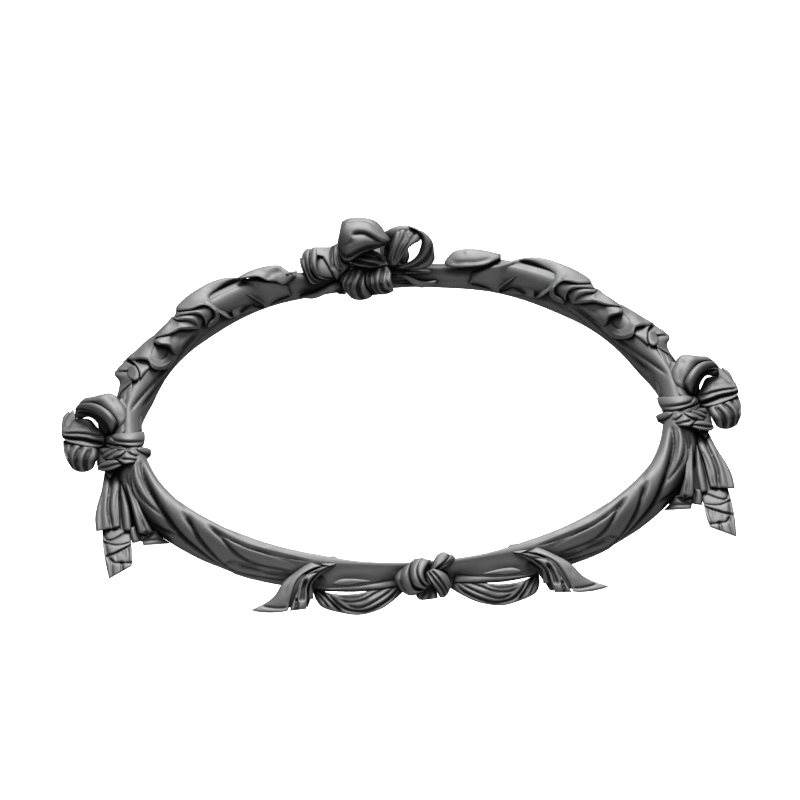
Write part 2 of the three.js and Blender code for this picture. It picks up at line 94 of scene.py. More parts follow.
def stepped(stops: Sequence[float], values: Sequence[float], at: np.ndarray) -> np.ndarray:
    """Eased values between stops placed anywhere.

    Args:
        stops: Where each value stands, rising.
        values: The value at each stop.
        at: Where to read.

    Returns:
        The value at each place.
    """
    s, v = np.asarray(stops, float), np.asarray(values, float)
    low = np.clip(np.searchsorted(s, at) - 1, 0, len(s) - 2)
    part = np.clip((at - s[low]) / (s[low + 1] - s[low]), 0, 1)
    return v[low] + (v[low + 1] - v[low]) * part * part * (3 - 2 * part)


def smooth_path(places: np.ndarray, count: int) -> np.ndarray:
    """Evenly spaced points of a smooth curve through places.

    Args:
        places: Places in any number of dimensions, one a row.
        count: How many points.

    Returns:
        The points, one a row.
    """
    p = np.vstack([2 * places[0] - places[1], places, 2 * places[-1] - places[-2]])
    t = np.linspace(0, 1, 16, endpoint=False)[:, None]
    dense = [
        a * (-0.5 * t + t * t - 0.5 * t**3) + b * (1 - 2.5 * t * t + 1.5 * t**3)
        + c * (0.5 * t + 2 * t * t - 1.5 * t**3) + d * (-0.5 * t * t + 0.5 * t**3)
        for a, b, c, d in zip(p, p[1:], p[2:], p[3:])
    ]
    line = np.vstack([*dense, p[-2:-1]])
    run = np.concatenate([[0], np.cumsum(np.linalg.norm(np.diff(line, axis=0), axis=1))])
    want = np.linspace(0, run[-1], count)
    return np.stack([np.interp(want, run, line[:, k]) for k in range(line.shape[1])], axis=1)


@dataclass
class Skin:
    """A closed skin.

    Args:
        points: Places, one a row.
        faces: Corner numbers of each triangle.
    """

    points: np.ndarray
    faces: np.ndarray

    def mirrored(self) -> "Skin":
        """The same skin on the other hand."""
        return Skin(self.points * [-1, 1, 1], self.faces[:, ::-1])


def closed(rings: np.ndarray) -> Skin:
    """Skin over rings of equal even count, each end closed by a strip across it.

    Args:
        rings: Array of rings by points by three; point i lies opposite the i-th from the end.

    Returns:
        The closed skin, its faces turned outwards.
    """
    rows, count = rings.shape[:2]
    points = rings.reshape(-1, 3)
    here = np.arange(count)
    base = (np.arange(rows - 1) * count)[:, None]
    a, b = (base + here).ravel(), (base + (here + 1) % count).ravel()
    c, d = b + count, a + count
    near = np.arange(count // 2 - 1)
    far = count - 1 - near
    last = (rows - 1) * count
    faces = np.vstack([
        np.stack([a, b, c], 1),
        np.stack([a, c, d], 1),
        np.stack([near, far, near + 1], 1),
        np.stack([near + 1, far, far - 1], 1),
        last + np.stack([near, near + 1, far], 1),
        last + np.stack([near + 1, far - 1, far], 1),
    ])
    corners = points[faces]
    volume = np.einsum("ij,ij->i", corners[:, 0], np.cross(corners[:, 1], corners[:, 2])).sum()
    return Skin(points, faces if volume > 0 else faces[:, ::-1])


class Sketch:
    """The drawing in which the cloths are traced, 800 steps wide."""

    # Where the ring's centre stands in it, and steps right and down to a millimetre of x, y and h.
    CENTRE = np.array([402.1, 438.4])
    WAYS = np.array([[0.8655, -0.0756, -0.0188], [-0.0579, -0.4840, -0.7193]])
    # Millimetres to a step right and a step down.
    STEP_MM = np.array([1.15, 1.15])

    @classmethod
    def placed(cls, drawn: np.ndarray) -> np.ndarray:
        """Drawn places, right, down and height, turned into the ring's frame."""
        flat = drawn[:, :2] - cls.CENTRE - np.outer(drawn[:, 2], cls.WAYS[:, 2])
        return np.column_stack([flat @ np.linalg.inv(cls.WAYS[:, :2]).T, drawn[:, 2]])

    @classmethod
    def seen(cls, places: np.ndarray) -> np.ndarray:
        """Places of the ring's frame as steps right and down in the sketch."""
        return places @ cls.WAYS.T + cls.CENTRE


@dataclass(frozen=True)
class Crease:
    """A crease or ridge, drawn in the sketch or in degrees round the ring and round the bar.

    Args:
        line: Places along it, two measures each.
        depth: How deep it is; below nothing it is a ridge.
        wide: Half width.
        low: How far the cloth to the right of the line lies below the rest.
        reach: How far from the line that low cloth runs.
        sharp: How it is cut, from 1 for a sharp cut with broad shoulders to 2 for a soft one.
    """

    line: str
    depth: float = 3.0
    wide: float = 2.0
    low: float = 0.0
    reach: float = 8.0
    sharp: float = 1.5

    def relief(self, spot: np.ndarray, scale: np.ndarray) -> np.ndarray:
        """Height that the crease gives.

        Args:
            spot: Places in millimetres of the line's two measures, in the last axis.
            scale: Millimetres to one of each measure.

        Returns:
            Heights, below nothing inside the crease.
        """
        line = numbers(self.line)
        path = smooth_path(line * scale, PER_PLACE * len(line))
        margin = 3 * max(self.wide, self.reach if self.low else 0.0)
        near = np.all((spot > path.min(0) - margin) & (spot < path.max(0) + margin), axis=-1)
        p = spot[near]
        best, side, along = np.full(len(p), 1e9), np.zeros(len(p)), np.zeros(len(p))
        for k, (a, b) in enumerate(zip(path, path[1:])):
            run = b - a
            part = np.clip(((p - a) @ run) / (run @ run), 0, 1)
            off = p - a - part[:, None] * run
            far = np.hypot(off[:, 0], off[:, 1])
            closer = far < best
            best = np.where(closer, far, best)
            side = np.where(closer, np.sign(run[0] * off[:, 1] - run[1] * off[:, 0]), side)
            along = np.where(closer, (k + part) / (len(path) - 1), along)
        fade = np.clip(np.minimum(along, 1 - along) / RUN_OUT, 0, 1) ** 0.7
        height = -self.depth * np.exp(-((best / self.wide) ** self.sharp))
        height -= self.low * np.exp(-((best / self.reach) ** 2)) * (side > 0)
        out = np.zeros(spot.shape[:-1])
        out[near] = height * fade
        return out


def carved(creases: Sequence[Crease], measures: np.ndarray, scale: np.ndarray) -> np.ndarray:
    """Height that creases give together.

    Args:
        creases: The creases.
        measures: The two measures of each place, in the last axis.
        scale: Millimetres to one of each measure.

    Returns:
        Heights.
    """
    spot = measures * scale
    return sum((crease.relief(spot, scale) for crease in creases), np.zeros(spot.shape[:-1]))


@dataclass(frozen=True)
class Cloth:
    """A piece of carved cloth between two edges, drawn as seen, with its creases.

    Args:
        one: Places along one edge: right, down and height.
        other: Places along the other, in the same order.
        bulge: How far its middle stands out.
        creases: Creases drawn on it, right and down.
        thick: Its half thickness at the edges.
        edge: How far in from the edges it is rounded.
        sag: How far the middle of its last end hangs past the corners.
    """

    one: str
    other: str
    bulge: float = 5.0
    creases: Sequence[Crease] = ()
    thick: float = 3.0
    edge: float = 4.0
    sag: float = 0.0

    def skin(self) -> Skin:
        """Makes the cloth.

        Returns:
            Its closed skin.
        """
        a, b = (smooth_path(self._places(edge), DENSE) for edge in (self.one, self.other))
        run = sum(np.linalg.norm(np.diff(path, axis=0), axis=1).sum() for path in (a, b)) / 2
        s, t = self._spaced(run), self._spaced(np.linalg.norm(a - b, axis=1).max())
        a, b = (self._read(path, s) for path in (a, b))
        base = a[:, None] * (1 - t)[None, :, None] + b[:, None] * t[None, :, None]
        gap = np.linalg.norm(a - b, axis=1)[:, None]
        middle = 4 * t * (1 - t)
        base = base + self._hang(base, (b - a)[-1]) * (self.sag * s[:, None] ** 4 * middle**0.7)[:, :, None]
        far_t, far_s = np.minimum(t, 1 - t)[None, :] * gap, np.minimum(s, 1 - s)[:, None] * run
        full = self._round(far_t, self.edge) * self._round(far_s, self.edge)
        relief = BOLD * carved(self.creases, Sketch.seen(base), Sketch.STEP_MM) * full
        swell = self.bulge * middle[None, :] ** 0.8 * self._round(far_s, 2 * self.edge)
        top = base + LOOK * (self.thick * (full - 1) + swell + relief)[:, :, None]
        low = self.thick * (1 + 0.7 * full) - np.minimum(relief + self.thick * full + swell, 0)
        under = base - LOOK * low[:, :, None]
        return closed(np.concatenate([top, under[:, ::-1]], axis=1))

    def _places(self, edge: str) -> np.ndarray:
        """Places of an edge in the ring's frame."""
        return Sketch.placed(numbers(edge))

    @staticmethod
    def _read(path: np.ndarray, share: np.ndarray) -> np.ndarray:
        """Points of a dense path at shares of its length."""
        at = share * (len(path) - 1)
        return np.stack([np.interp(at, np.arange(len(path)), path[:, k]) for k in range(3)], axis=1)

    @staticmethod
    def _hang(base: np.ndarray, across: np.ndarray) -> np.ndarray:
        """The way past the cloth's last end, at right angles to the view.

        Args:
            base: The cloth's places, rows by columns.
            across: From one corner of the last end to the other.

        Returns:
            The way, of length near 1.
        """
        way = np.cross(across / np.linalg.norm(across), LOOK)
        return way if way @ (base[-1] - base[-4]).mean(axis=0) >= 0 else -way

    @staticmethod
    def _spaced(length: float) -> np.ndarray:
        """Shares from 0 to 1 along a length, closer together near the ends."""
        even = np.linspace(0, 1, max(12, int(length / FACET)))
        return 0.5 * even + 0.5 * (0.5 - 0.5 * np.cos(math.pi * even))

    @staticmethod
    def _round(far: np.ndarray, edge: float) -> np.ndarray:
        """How full a rounded edge is at a distance from it, from 0 to 1."""
        return np.sqrt(1 - (1 - np.clip(far / edge, 0, 1)) ** 2)


@dataclass(frozen=True)
class Bar:
    """The right half of the ring's bar.

    Args:
        opening: Width of the opening.
        sunk: How far the round section reaches behind the flat back.
        stops: Degrees round the ring at which the next three are given, from the right-hand side.
        wide: Half width.
        high: Half height.
        inside: How far the inner edge lies outside the opening.
        rows: Rows of points along the half bar.
        around: Points round its front.
        scale: Millimetres to a degree round the ring and a degree round the bar.
        creases: Creases, in those degrees.
    """

    opening: float = 596.0
    sunk: float = 2.0
    stops: tuple[float, ...] = (-92, -78, -66, -50, -20, -6, 4, 20, 45, 66, 78, 92)
    wide: tuple[float, ...] = (12, 12, 21.2, 24.6, 23.9, 21.4, 17.7, 20.7, 21.6, 19.3, 13.6, 13.1)
    high: tuple[float, ...] = (19, 19, 21, 22, 21, 21, 22, 22, 22, 20, 14, 12)
    inside: tuple[float, ...] = (0, 0, -3, -1, 3, 2, 2, -7, -2, 5.5, 6, 5)
    rows: int = 340
    around: int = 62
    scale: tuple[float, float] = (math.radians(335), math.radians(25))
    creases: tuple[Crease, ...] = (
        Crease("-12 118, -19 99, -24.5 81, -30.5 57, -34 40, -38 20, -42 3, -46 -20, -50 -45", 7, 3.4, 2,
               8),
        Crease("-12.8 100, -19.6 82, -26.3 60, -30 51", 2, 1.6),
        Crease("-13 86, -17 66, -21.9 50, -25.6 48, -28.7 46, -31.5 50", 3, 1.8),
        Crease("-13 76, -15.4 64, -21.5 26, -25 1, -28.2 -2, -32.3 4, -37 19", 4.5, 2.2),
        Crease("-14 60, -20.6 18, -24 -14, -27.8 -36, -32 -50", 4, 2.4),
        Crease("-33.8 94, -37.3 74, -41.3 44, -45.1 17, -47.7 -6, -50 -30", 5, 2.4, 1.5, 7),
        Crease("-40.6 96, -45.5 74, -49.4 50, -52.7 34, -55.7 27, -60.5 26, -65 22", 4, 2),
        Crease("-41.2 96, -45.8 82, -50 75, -53.7 72, -59.3 73, -66 69", 3, 1.7),
        Crease("-53 76, -58.4 66, -65 52", 1.6, 2.2),
        Crease("-50 4, -54.1 8, -59.5 2, -65 -2", 4, 1.9),
        Crease("-47.6 -11, -51.5 -24, -56.3 -18, -64 -12", 4, 2),
        Crease("-48.2 -16, -50.5 12, -54 17, -59 14, -65 12", 3, 1.6),
        Crease("44.5 152, 40.3 166, 35.9 174, 31.9 185, 24.6 182, 17.2 165, 9 148", 3, 2.6),
        Crease("50 169, 45.6 180, 42 190, 37.7 203, 32.6 208, 25.3 204, 12 190", 3, 2.6),
        Crease("36 150, 30 160, 22 150, 12 128, 6 110", 3, 2.6),
    )

    def skin(self) -> Skin:
        """Makes the half bar with its creases and twisted folds.

        Returns:
            Its closed skin.
        """
        angle = np.linspace(-91.5, 91.5, self.rows)
        # The front is set close with points, and the back needs two.
        turn = np.concatenate([np.linspace(-60, 236, self.around), np.linspace(250, 285, 2)])
        angles, turns = np.meshgrid(angle, turn, indexing="ij")
        # Faint folds wind round the bar, weaker towards the bottom.
        swing = stepped((-91, -56, -14, 91), (165, 165, 0, 0), angles)
        drape = np.abs(np.sin(np.radians((turns + swing) * 2.1 + 20 * np.sin(np.radians(angles * 3)))))
        calm = stepped((-92, -80, -66, -40, -14, 20, 92), (0.1, 0.1, 0.35, 0.6, 0.5, 1, 0.6), angles)
        relief = carved(self.creases, np.stack([angles, turns], axis=-1), np.array(self.scale))
        return closed(self.surface(angles, turns, relief - 1.6 * calm * (1 - drape) ** 3))

    def surface(self, angle: np.ndarray, turn: np.ndarray, proud: np.ndarray | float) -> np.ndarray:
        """Places on or off the bar.

        Args:
            angle: Degrees round the ring.
            turn: Degrees round the bar, from the outside over the front.
            proud: Height above the bar.

        Returns:
            Places, in the last axis.
        """
        wide = stepped(self.stops, self.wide, angle)
        high = stepped(self.stops, self.high, angle)
        radius = self.opening / 2 + stepped(self.stops, self.inside, angle) + wide
        radius = radius + np.cos(np.radians(turn)) * (wide + proud)
        height = high - self.sunk + np.sin(np.radians(turn)) * (high + proud)
        way = np.radians(angle)
        return np.stack([np.cos(way) * radius, np.sin(way) * radius, height], axis=-1)


class BarFront:
    """The front of the bar's left half, as the sketch shows it."""

    # Degrees between points round the ring and round the bar, cells to a step, and most cells in a row.
    GRID = (0.2, 1.0)
    CELLS = 2
    ROW = 10_000
    # How many near points are weighed, within how many steps, or how much farther off than the nearest.
    NEAR = 6
    WITHIN = 1.0
    SLACK = 0.3
    # Millimetres towards the viewer that raise a place by one.
    SLOPE = 1.79

    def __init__(self, bar: Bar) -> None:
        """Keeps the foremost point of each cell of the sketch.

        Args:
            bar: The bar.
        """
        angle, turn = np.arange(-91, 91.01, self.GRID[0]), np.arange(-60, 240, self.GRID[1])
        angles, turns = np.meshgrid(angle, turn, indexing="ij")
        places = (bar.surface(angles, turns, 0.0) * [-1, 1, 1]).reshape(-1, 3)
        spots, fore = Sketch.seen(places), places @ LOOK
        cell = np.round(spots * self.CELLS).astype(int) @ [self.ROW, 1]
        order = np.lexsort((-fore, cell))
        kept = order[np.concatenate([[True], np.diff(cell[order]) != 0])]
        self.spots, self.fore, self.heights = spots[kept], fore[kept], places[kept, 2]

    def height(self, right: float, down: float, off: float) -> float:
        """How high a drawn place lies.

        Args:
            right: Steps to the right in the sketch.
            down: Steps down.
            off: How far it stands off the bar, towards the viewer.

        Returns:
            Its height out of the wall, to a tenth of a millimetre.
        """
        far = np.linalg.norm(self.spots - [right, down], axis=1)
        near = np.argsort(far)[:self.NEAR]
        near = near[far[near] < max(self.WITHIN, far[near[0]] + self.SLACK)]
        return round(float(self.heights[near[np.argmax(self.fore[near])]]) + off / self.SLOPE, 1)


@cache
def bar_front() -> BarFront:
    """The front of the ring's bar, worked out once."""
    return BarFront(Bar())


@dataclass(frozen=True)
class LaidCloth(Cloth):
    """A cloth that lies on the bar, its edges drawn right, down and off the bar's front."""

    def _places(self, edge: str) -> np.ndarray:
        """Places of an edge in the ring's frame."""
        drawn = numbers(edge)
        drawn[:, 2] = [bar_front().height(*place) for place in drawn]
        return Sketch.placed(drawn)


@dataclass(frozen=True)
class Drapery:
    """Cloths that make one part of the carving.

    Args:
        cloths: The cloths, those behind first.
        hand: Where the part stands.
    """

    cloths: tuple[Cloth, ...] = ()
    hand: Hand = Hand.PAIRED

    def skins(self) -> list[Skin]:
        """Skins of the cloths."""
        log.info("%s, %s: %d cloths", type(self).__name__, self.hand.value, len(self.cloths))
        return [cloth.skin() for cloth in self.cloths]


@dataclass(frozen=True)
class SideBow(Drapery):
    """The bow at the side: a shell of folds, an open loop and a hanging loop."""

    cloths: tuple[Cloth, ...] = (
        Cloth("97.5 422 18, 98.5 430 18, 101 438 18", "112 422 22, 112 430 22, 112 440 22", 1),
        Cloth("69 410.5 13, 63 417 13, 61.5 427 14", "70 414 13, 66 421 14, 63 430 15", 2),
        Cloth("73 409 15, 66 418 15, 62.5 428 17", "77 419 15, 73 425 16, 66 431 17", 1),
        Cloth("77 407 20, 90 400 32, 106 396 38, 120 400 38, 130 406 33, 131 418 29, 122 431 26",
              "77 417 18, 88 416 22, 95 419 26, 101 425 26, 106 433 24, 112 433 24", 0),
        Cloth("96 443 20, 96 454 20, 97 466 20", "112 440 24, 112 454 26, 112 466 26", 0),
        Cloth("75 410.5 24, 84 410.5 28, 93 413 32, 101 418 35, 106 424 34, 107.5 430 30, 107 434 28",
              "75 418 20, 82 418.5 21, 88 417 24, 93 419 27, 98 424 28, 102 430 27, 105 434.5 26", 3, (
              Crease("77 413.5, 86 413, 95 417, 101 422, 105 429, 106 434", 3, 2),
              Crease("90 416, 97 421, 102 428, 105 434", 2, 1.6)), 2.4),
        Cloth("119.5 399.5 41, 122 398 41, 127 400 39, 132 404 37, 133.7 410 35, 133 417 33, 130 423 31, "
              "124 430 29", "117 401 42, 120 404.5 42, 124 409.5 41, 126 416 39, 125 422 36, 120 429 31",
              4, (Crease("123 399, 128 403, 130.5 409, 130.5 417, 128 424", 2, 2),)),
        Cloth("79 403 32, 85 398 37, 93 396.5 42, 103 394 46, 110 393 46, 116 396 45, 120 401 44, "
              "125.5 408 42, 128.5 417 39, 127 424 36, 121 431 32", "79 405 34, 86 403.5 38, 95 405 41, "
              "103 409.5 43, 109 415 43, 113.5 420 41, 115 426 38, 114 432 32", 7, (
              Crease("104 393, 109 398, 114 402", 1.2, 3), Crease("112 400, 118 408, 121 420", 1, 3))),
        Cloth("75 408.5 28, 80 403 36, 87 401.5 41, 97 404 46, 106 409 49, 113 415.5 48, 117 423 43, "
              "115 433 34", "75.5 411 27, 83 410 33, 92 412 38, 99 416 42, 104 420 43, 107 425 41, "
              "109 430 37, 110 434.5 32", 6),
        Cloth("61.5 427 19, 69 425.5 20, 75 419 20, 84 418.5 22, 91 420 23, 98 428 24, 106 436.5 24",
              "61.5 436 23, 66 441 26, 76 444.5 27, 86 447 27, 95 447.8 26, 101 447.5 25, 106 445 23", 7, (
              Crease("60 428, 68 428.5, 78 427.5, 86 427", 1.5, 2),
              Crease("60 432, 66 433.5, 76 433.4, 88 434.3, 97 435.7, 108 436.4", 3, 1.8),
              Crease("60 436, 70 438.5, 82 439.5, 94 442, 106 443.5", 5, 2.2, 1.5, 5))),
        Cloth("63 440 20, 63.5 450 23, 66 459 23, 71 467 19",
              "98 446 22, 97.5 452 26, 97 459 25, 94 467 19", 8, (
              Crease("74 444, 69.5 450, 68 457, 70 464, 74 470", 3.4, 2.6),
              Crease("83 446, 77 453, 75.5 460, 77 467, 81 473", 4, 2.6),
              Crease("91 448, 87 455, 85 463, 86 470, 88 474", 4, 2.6),
              Crease("66 442, 65 450, 67 458", 2, 2)), 3, 6, 6),
        Cloth("98.5 448 23, 97.5 457 23, 98 465 23", "107 449 27, 107 457 29, 107 464 30", 3),
    )


@dataclass(frozen=True)
class Wraps(Drapery):
    """Bands that tie the side bow to the bar."""

    cloths: tuple[Cloth, ...] = (
        Cloth("133 414.5 38, 129 424 41, 122 433 42", "142 416 27, 142 425 25, 142.5 433 23", 3, (
              Crease("137.5 415, 136.5 424, 134 434", 2.5, 1.8),
              Crease("140 416, 138.5 425, 137 434", 1.6, 1.4),
              Crease("134 418, 130 427, 126 434", 2, 1.8))),
        Cloth("105.5 437.5 28, 110 435 34, 120 432.5 39, 130 432 39, 138 431.7 34, 144 431.5 25",
              "106 443 30, 113 444.5 36, 121 445.8 40, 130 447 40, 138 447.5 36, 143 446 29", 7, (
              Crease("109 433, 113.3 439.3, 118.7 441.3, 125.3 442, 133.3 442.3, 148 441.3", 2.4, 1.8),
              Crease("105 438, 109 441, 115 443.5", 1.2, 2)), 3, 5, 4),
        Cloth("105.5 443.5 30, 113 445.5 36, 121 446.5 40, 130 447.5 39, 138 448 36",
              "106 447 30, 113 449 36, 121 450 40, 130 450 39, 137 450 36", 2, (
              Crease("105 445.3, 113 447.3, 121 448.3, 138 449", 1.6, 1.2),)),
        Cloth("99 448.5 25, 105 448 30, 112 448.5 36, 119 449 39, 127 449.5 40",
              "101 457 27, 107 459.5 33, 114 460 38, 120 458.5 41, 127 453 41", 4, (
              Crease("99 457, 106 452, 114 448", 3, 1.8),
              Crease("103 459.5, 110 455.3, 115.3 452, 124 448", 3, 1.8),
              Crease("112 459.5, 120.7 456.7, 125.3 452.7, 129 449", 3, 1.8))),
        Cloth("127 450 41, 134 449 41, 141 447 37, 148 448 29, 151.5 450 24",
              "118 460 42, 124 464 43, 131 463.5 42, 138 462 38, 145 460.5 31, 151 456 25", 5, (
              Crease("133 448, 140 452.7, 145.3 454.7, 153 454.7", 3.4, 2, 1, 4),
              Crease("125 451, 131.3 454.7, 138 456.7, 144.7 457.7, 152 457.3", 3.4, 2),
              Crease("117 458, 124 459.3, 130 459.5, 138.7 460.7, 148 460.3", 2.4, 1.6))),
        Cloth("97 467 24, 101 463.5 29, 108 460.5 35, 115 459.8 38, 121 462.5 40",
              "98 470 25, 103 471.3 30, 109 471 35, 115 469 38, 124 465 40", 4, (
              Crease("98 468, 107 467, 114 465, 122 463", 3, 1.6),)),
    )


@dataclass(frozen=True)
class SideTails(Drapery):
    """The cloth hanging below the side bow: a broad tail, a long end and pleats."""

    cloths: tuple[Cloth, ...] = (
        Cloth("109 476 13, 109 505 13, 110 529 13, 126 540 12",
              "150 470 16, 158 500 13, 162 526 11, 163 543 10", 1),
        Cloth("138 532 21, 140 537 19, 143.5 545.5 17", "156 530 19, 162 537 16, 171 543.5 12", 2, (
              Crease("140 542, 147 538, 155 532", 2, 1.4),
              Crease("143 541, 152 540, 165 539, 173 541", 1.4, 1.2),
              Crease("142 531, 148 537", 2, 2)), 2, 3),
        Cloth("129 528 24, 130 536 22, 132.5 543.5 20", "135 526 24, 137.5 535 21, 140 541.5 19",
              3, (), 2, 3),
        Cloth("119.5 470 28, 124 484 29, 130 502 29, 134 518 28, 138 533 24",
              "129 466 30, 132 480 32, 136.5 498 32, 143 514 30, 153 532 22", 4, (
              Crease("124 468, 129 485, 135 504, 142 522, 147 536", 2, 2.4),
              Crease("127 466, 131 483, 136 500, 142 514", 1.6, 1.4),
              Crease("146 531, 149 537", 2, 2)), 3, 4, 2),
        Cloth("119.5 484 26, 118.8 500 26, 119.2 515 25, 120 531.5 23",
              "121.5 482 28, 126 497 28, 129.5 512 28, 131.5 531 25", 3, (
              Crease("120 495, 120.6 512, 123.5 535", 2.4, 1.6),)),
        Cloth("102 527 22, 103 546 23, 105.3 562 24, 109 579 23",
              "129.5 529 22, 131.8 546 23, 132.8 558 24, 131.8 566 23", 2, (
              Crease("103.5 528, 105 538, 108.3 540.4, 113.3 539.6, 119.2 536.7, 128 531", 1.6, 1.1),
              Crease("101 540.5, 109.2 544.2, 115.8 545.4, 123.3 544.6, 133 541.5", 1.4, 1.1),
              Crease("105 557, 109 555, 115 553, 119 551, 125 548, 132 543.5", 1.6, 1.2, 1.6, 8),
              Crease("106 556, 111 560, 115 563, 123 563.3, 134 563", 2, 1.3),
              Crease("121.3 561, 122 567, 123.5 574", 2.4, 1.3), Crease("111 558, 112.5 581", 1.4, 1.6),
              Crease("104.5 541, 106 550, 108 558", 2, 2),
              *(Crease(f"{u} {555 - 0.6 * (u - 116)}, {u + 0.6} 563.5", 1.6, 1) for u in PLEATS)), 2.4, 3),
        Cloth("104.5 472 24, 101.5 490 27, 97.2 505 28, 95 518 27, 96 531 26",
              "117 468 27, 120 483 29, 118.3 497 30, 119 512 29, 119.7 526.5 26", 3, (
              Crease("112 472, 110.4 489, 108.8 501.7, 108.8 511.7, 110.4 520, 112 531", 3.6, 2),
              Crease("103 492, 101 510, 101.5 533", 1.2, 2.4),
              Crease("117.5 490, 116.5 508, 117.5 528", 1.2, 1.8)), 2.6, 3.4, 1),
        Cloth("104 471 29, 106.5 475 29, 109.5 479 29", "117 468.5 31, 115 471.5 31, 111 477.5 30",
              2, (), 2, 3),
        Cloth("119 468 20, 122 500 18, 124 530 16", "134 466 22, 144 500 18, 150 524 14", 0),
    )


@dataclass(frozen=True)
class UpperCloth(Drapery):
    """The cloth over the upper part of the bar, its layers stepping down to a rolled end."""

    cloths: tuple[Cloth, ...] = (
        LaidCloth("121 391 1, 118 398 1, 118 404 1", "133 381 1, 132 392 1, 132 404 1", 1),
        LaidCloth("114.5 371 2, 115 376 2, 119 381 2, 119 387 2, 117 395 3, 114 403 5",
                  "128 371 4, 131 377 4, 133 381 3, 126 387 3, 120.5 393 3, 117 401 5", 2, (
                  Crease("118 380, 119.5 387, 117.5 396", -1.2, 1.4),), 2.4, 3),
        LaidCloth("114.5 373 3, 119 366.5 3, 126 361 4", "118 372 3, 127 373.5 4, 134 366 5", 2, (
                  Crease("118 370, 123 369.5, 128 370", -1.4, 2),), 3, 4),
        LaidCloth("129 360 4, 134 363.5 4, 138 369 4, 139.7 379 4",
                  "149 359 3, 152 365 3, 147 371 3, 141 378.5 3", 2, (
                  Crease("132 361, 136.5 366, 139 373", -1.6, 1.8),), 3, 4),
        LaidCloth("126.3 372 4, 127.5 377 4, 132.5 380.7 4, 138 380.5 4",
                  "130 365 5, 135 366 5, 138.3 371 5, 139.5 377 5", 1.5, (
                  Crease("127 370, 128.5 376, 134 379.5", -1, 1.6),), 3, 3),
        LaidCloth("136 350 1, 148 339 1, 158 334 1, 170 336 2, 180 344 2, 184 349 2", "126 358.5 5, "
                  "131.5 360.7 6, 140 359.6 6, 148 361 6, 152 368 6, 159 370.2 6, 168 368.5 6, "
                  "175 361.5 5, 178 355 4", 2, (Crease("128 356.5, 133 357.8, 140 356.7, 148.5 357.8, "
                  "153.5 364.5, 159 367, 166 365.5, 172 360.5, 175 354", -1.8, 1.8),
                  Crease("152 350, 160 353, 166 357", 3.6, 6, 0, 8, 2),
                  Crease("150 358, 154 354, 162 351", -0.8, 3)), 3, 3),
        LaidCloth("157 336 2, 168 333 3, 178 329 3, 188 328 3, 199 327 3",
                  "153.7 341 6, 157 344.8 7, 163 345.6 7, 168.5 347.3 7, 171.8 352 7, 176 355.8 6", 2, (
                  Crease("157 340, 161 343, 168 343.7, 172 346.5, 175 352", -1.9, 1.7),
                  Crease("170 338, 178 337, 184 340", 1.6, 6, 0, 8, 2)), 3, 3),
        LaidCloth("171 317 2, 182 314 3, 192 313 3, 200 315 3, 203 324 3",
                  "153.8 340 7, 158 336.9 8, 167 335.6 8, 175 332.3 8, 180 330.2 8, 188 330 8, 200 329 7",
                  2, (Crease("160 334.5, 168 332.8, 176 328.5, 186 327, 197 327", -1.2, 1.8),
                  Crease("168 328, 178 324", 1, 5, 0, 8, 2)), 3, 3),
        LaidCloth("175 314 5, 183 311 5, 191 310 5, 199 311 5, 206 317 5",
                  "172.7 318.5 8, 178 320.5 9, 186 320.8 9, 193 323 9, 199.5 328.5 8", 1.5, (
                  Crease("178 318.3, 186 317.8, 194 319.8, 199 325", -1.4, 1.6),), 2.6, 3),
        LaidCloth("176 308 6, 187 305 6, 197 302 6, 206 300 6, 214 305 6, 216 315 6",
                  "175 317.3 9, 181 315.6 10, 188 314.5 10, 196 314.5 10, 203 317.8 10, 206 326 9", 1.5, (
                  Crease("177 314.5, 184 312.8, 192 311.7, 199 312.3, 204 317", -1.4, 1.7),), 2.6, 3),
        LaidCloth("206 304 8, 212.5 310.5 9, 213.5 317 9, 209 322 9, 205.8 326 8",
                  "214 305 8, 219.5 312 9, 219.5 319 8, 215 324.5 8, 208.5 327.8 8", 2, (
                  Crease("214 308, 216.5 315, 213 321, 208 325", -1.4, 1.8),), 3, 3),
        LaidCloth("176.3 310.5 10, 177 305.5 7, 188 295.3 6, 201 287 6, 213 281 6, 226 277.5 6, "
                  "240 277.5 6, 256 280 5, 272 281 5, 288 284 4", "178 311.7 12, 190 310.2 12, "
                  "205 305.2 13, 214 310 12, 220 313.5 11, 231 319 10, 245 313.5 9, 262 309.5 8, "
                  "276 302.5 6, 292 297 5", 4, (
                  Crease("178 308.5, 188 307.5, 198 304, 207 301.5, 213 306", -1.2, 1.8),
                  Crease("240 280, 228 285, 220 290.6, 209 299", 4, 2.4),
                  Crease("248 284, 240 288.8, 231 293.8, 224 301, 219.5 311", 4.4, 3),
                  Crease("244 282.5, 232 288.5, 222 296.5, 215 303", -1.8, 2.2), Crease("251 302, 246 299, "
                  "240 300.2, 232.5 302.7, 229 305.5, 228.3 311, 231 316, 235 318.5", 5.5, 1.8),
                  Crease("227 303, 233 299.5, 241 296.3, 248 295.3, 254 298.3, 261 302, 266 305.8", -3.4,
                  2.2), Crease("250 301.3, 256 303.8, 262 307, 262 309", 4.5, 1.8),
                  Crease("226 313, 230 317.5, 234 316", -1.2, 2), Crease("250 303, 245 308, 240 314", 3, 2),
                  Crease("268 309, 275 302, 282 298.5, 292 295", 4, 2.2),
                  Crease("258 286, 270 284, 284 287", -0.8, 4)), 3.4, 4),
        Cloth("120 366 30, 128 356.5 31, 137 349.5 32", "128 374 32, 137 366 36, 146 358 38", 1),
    )


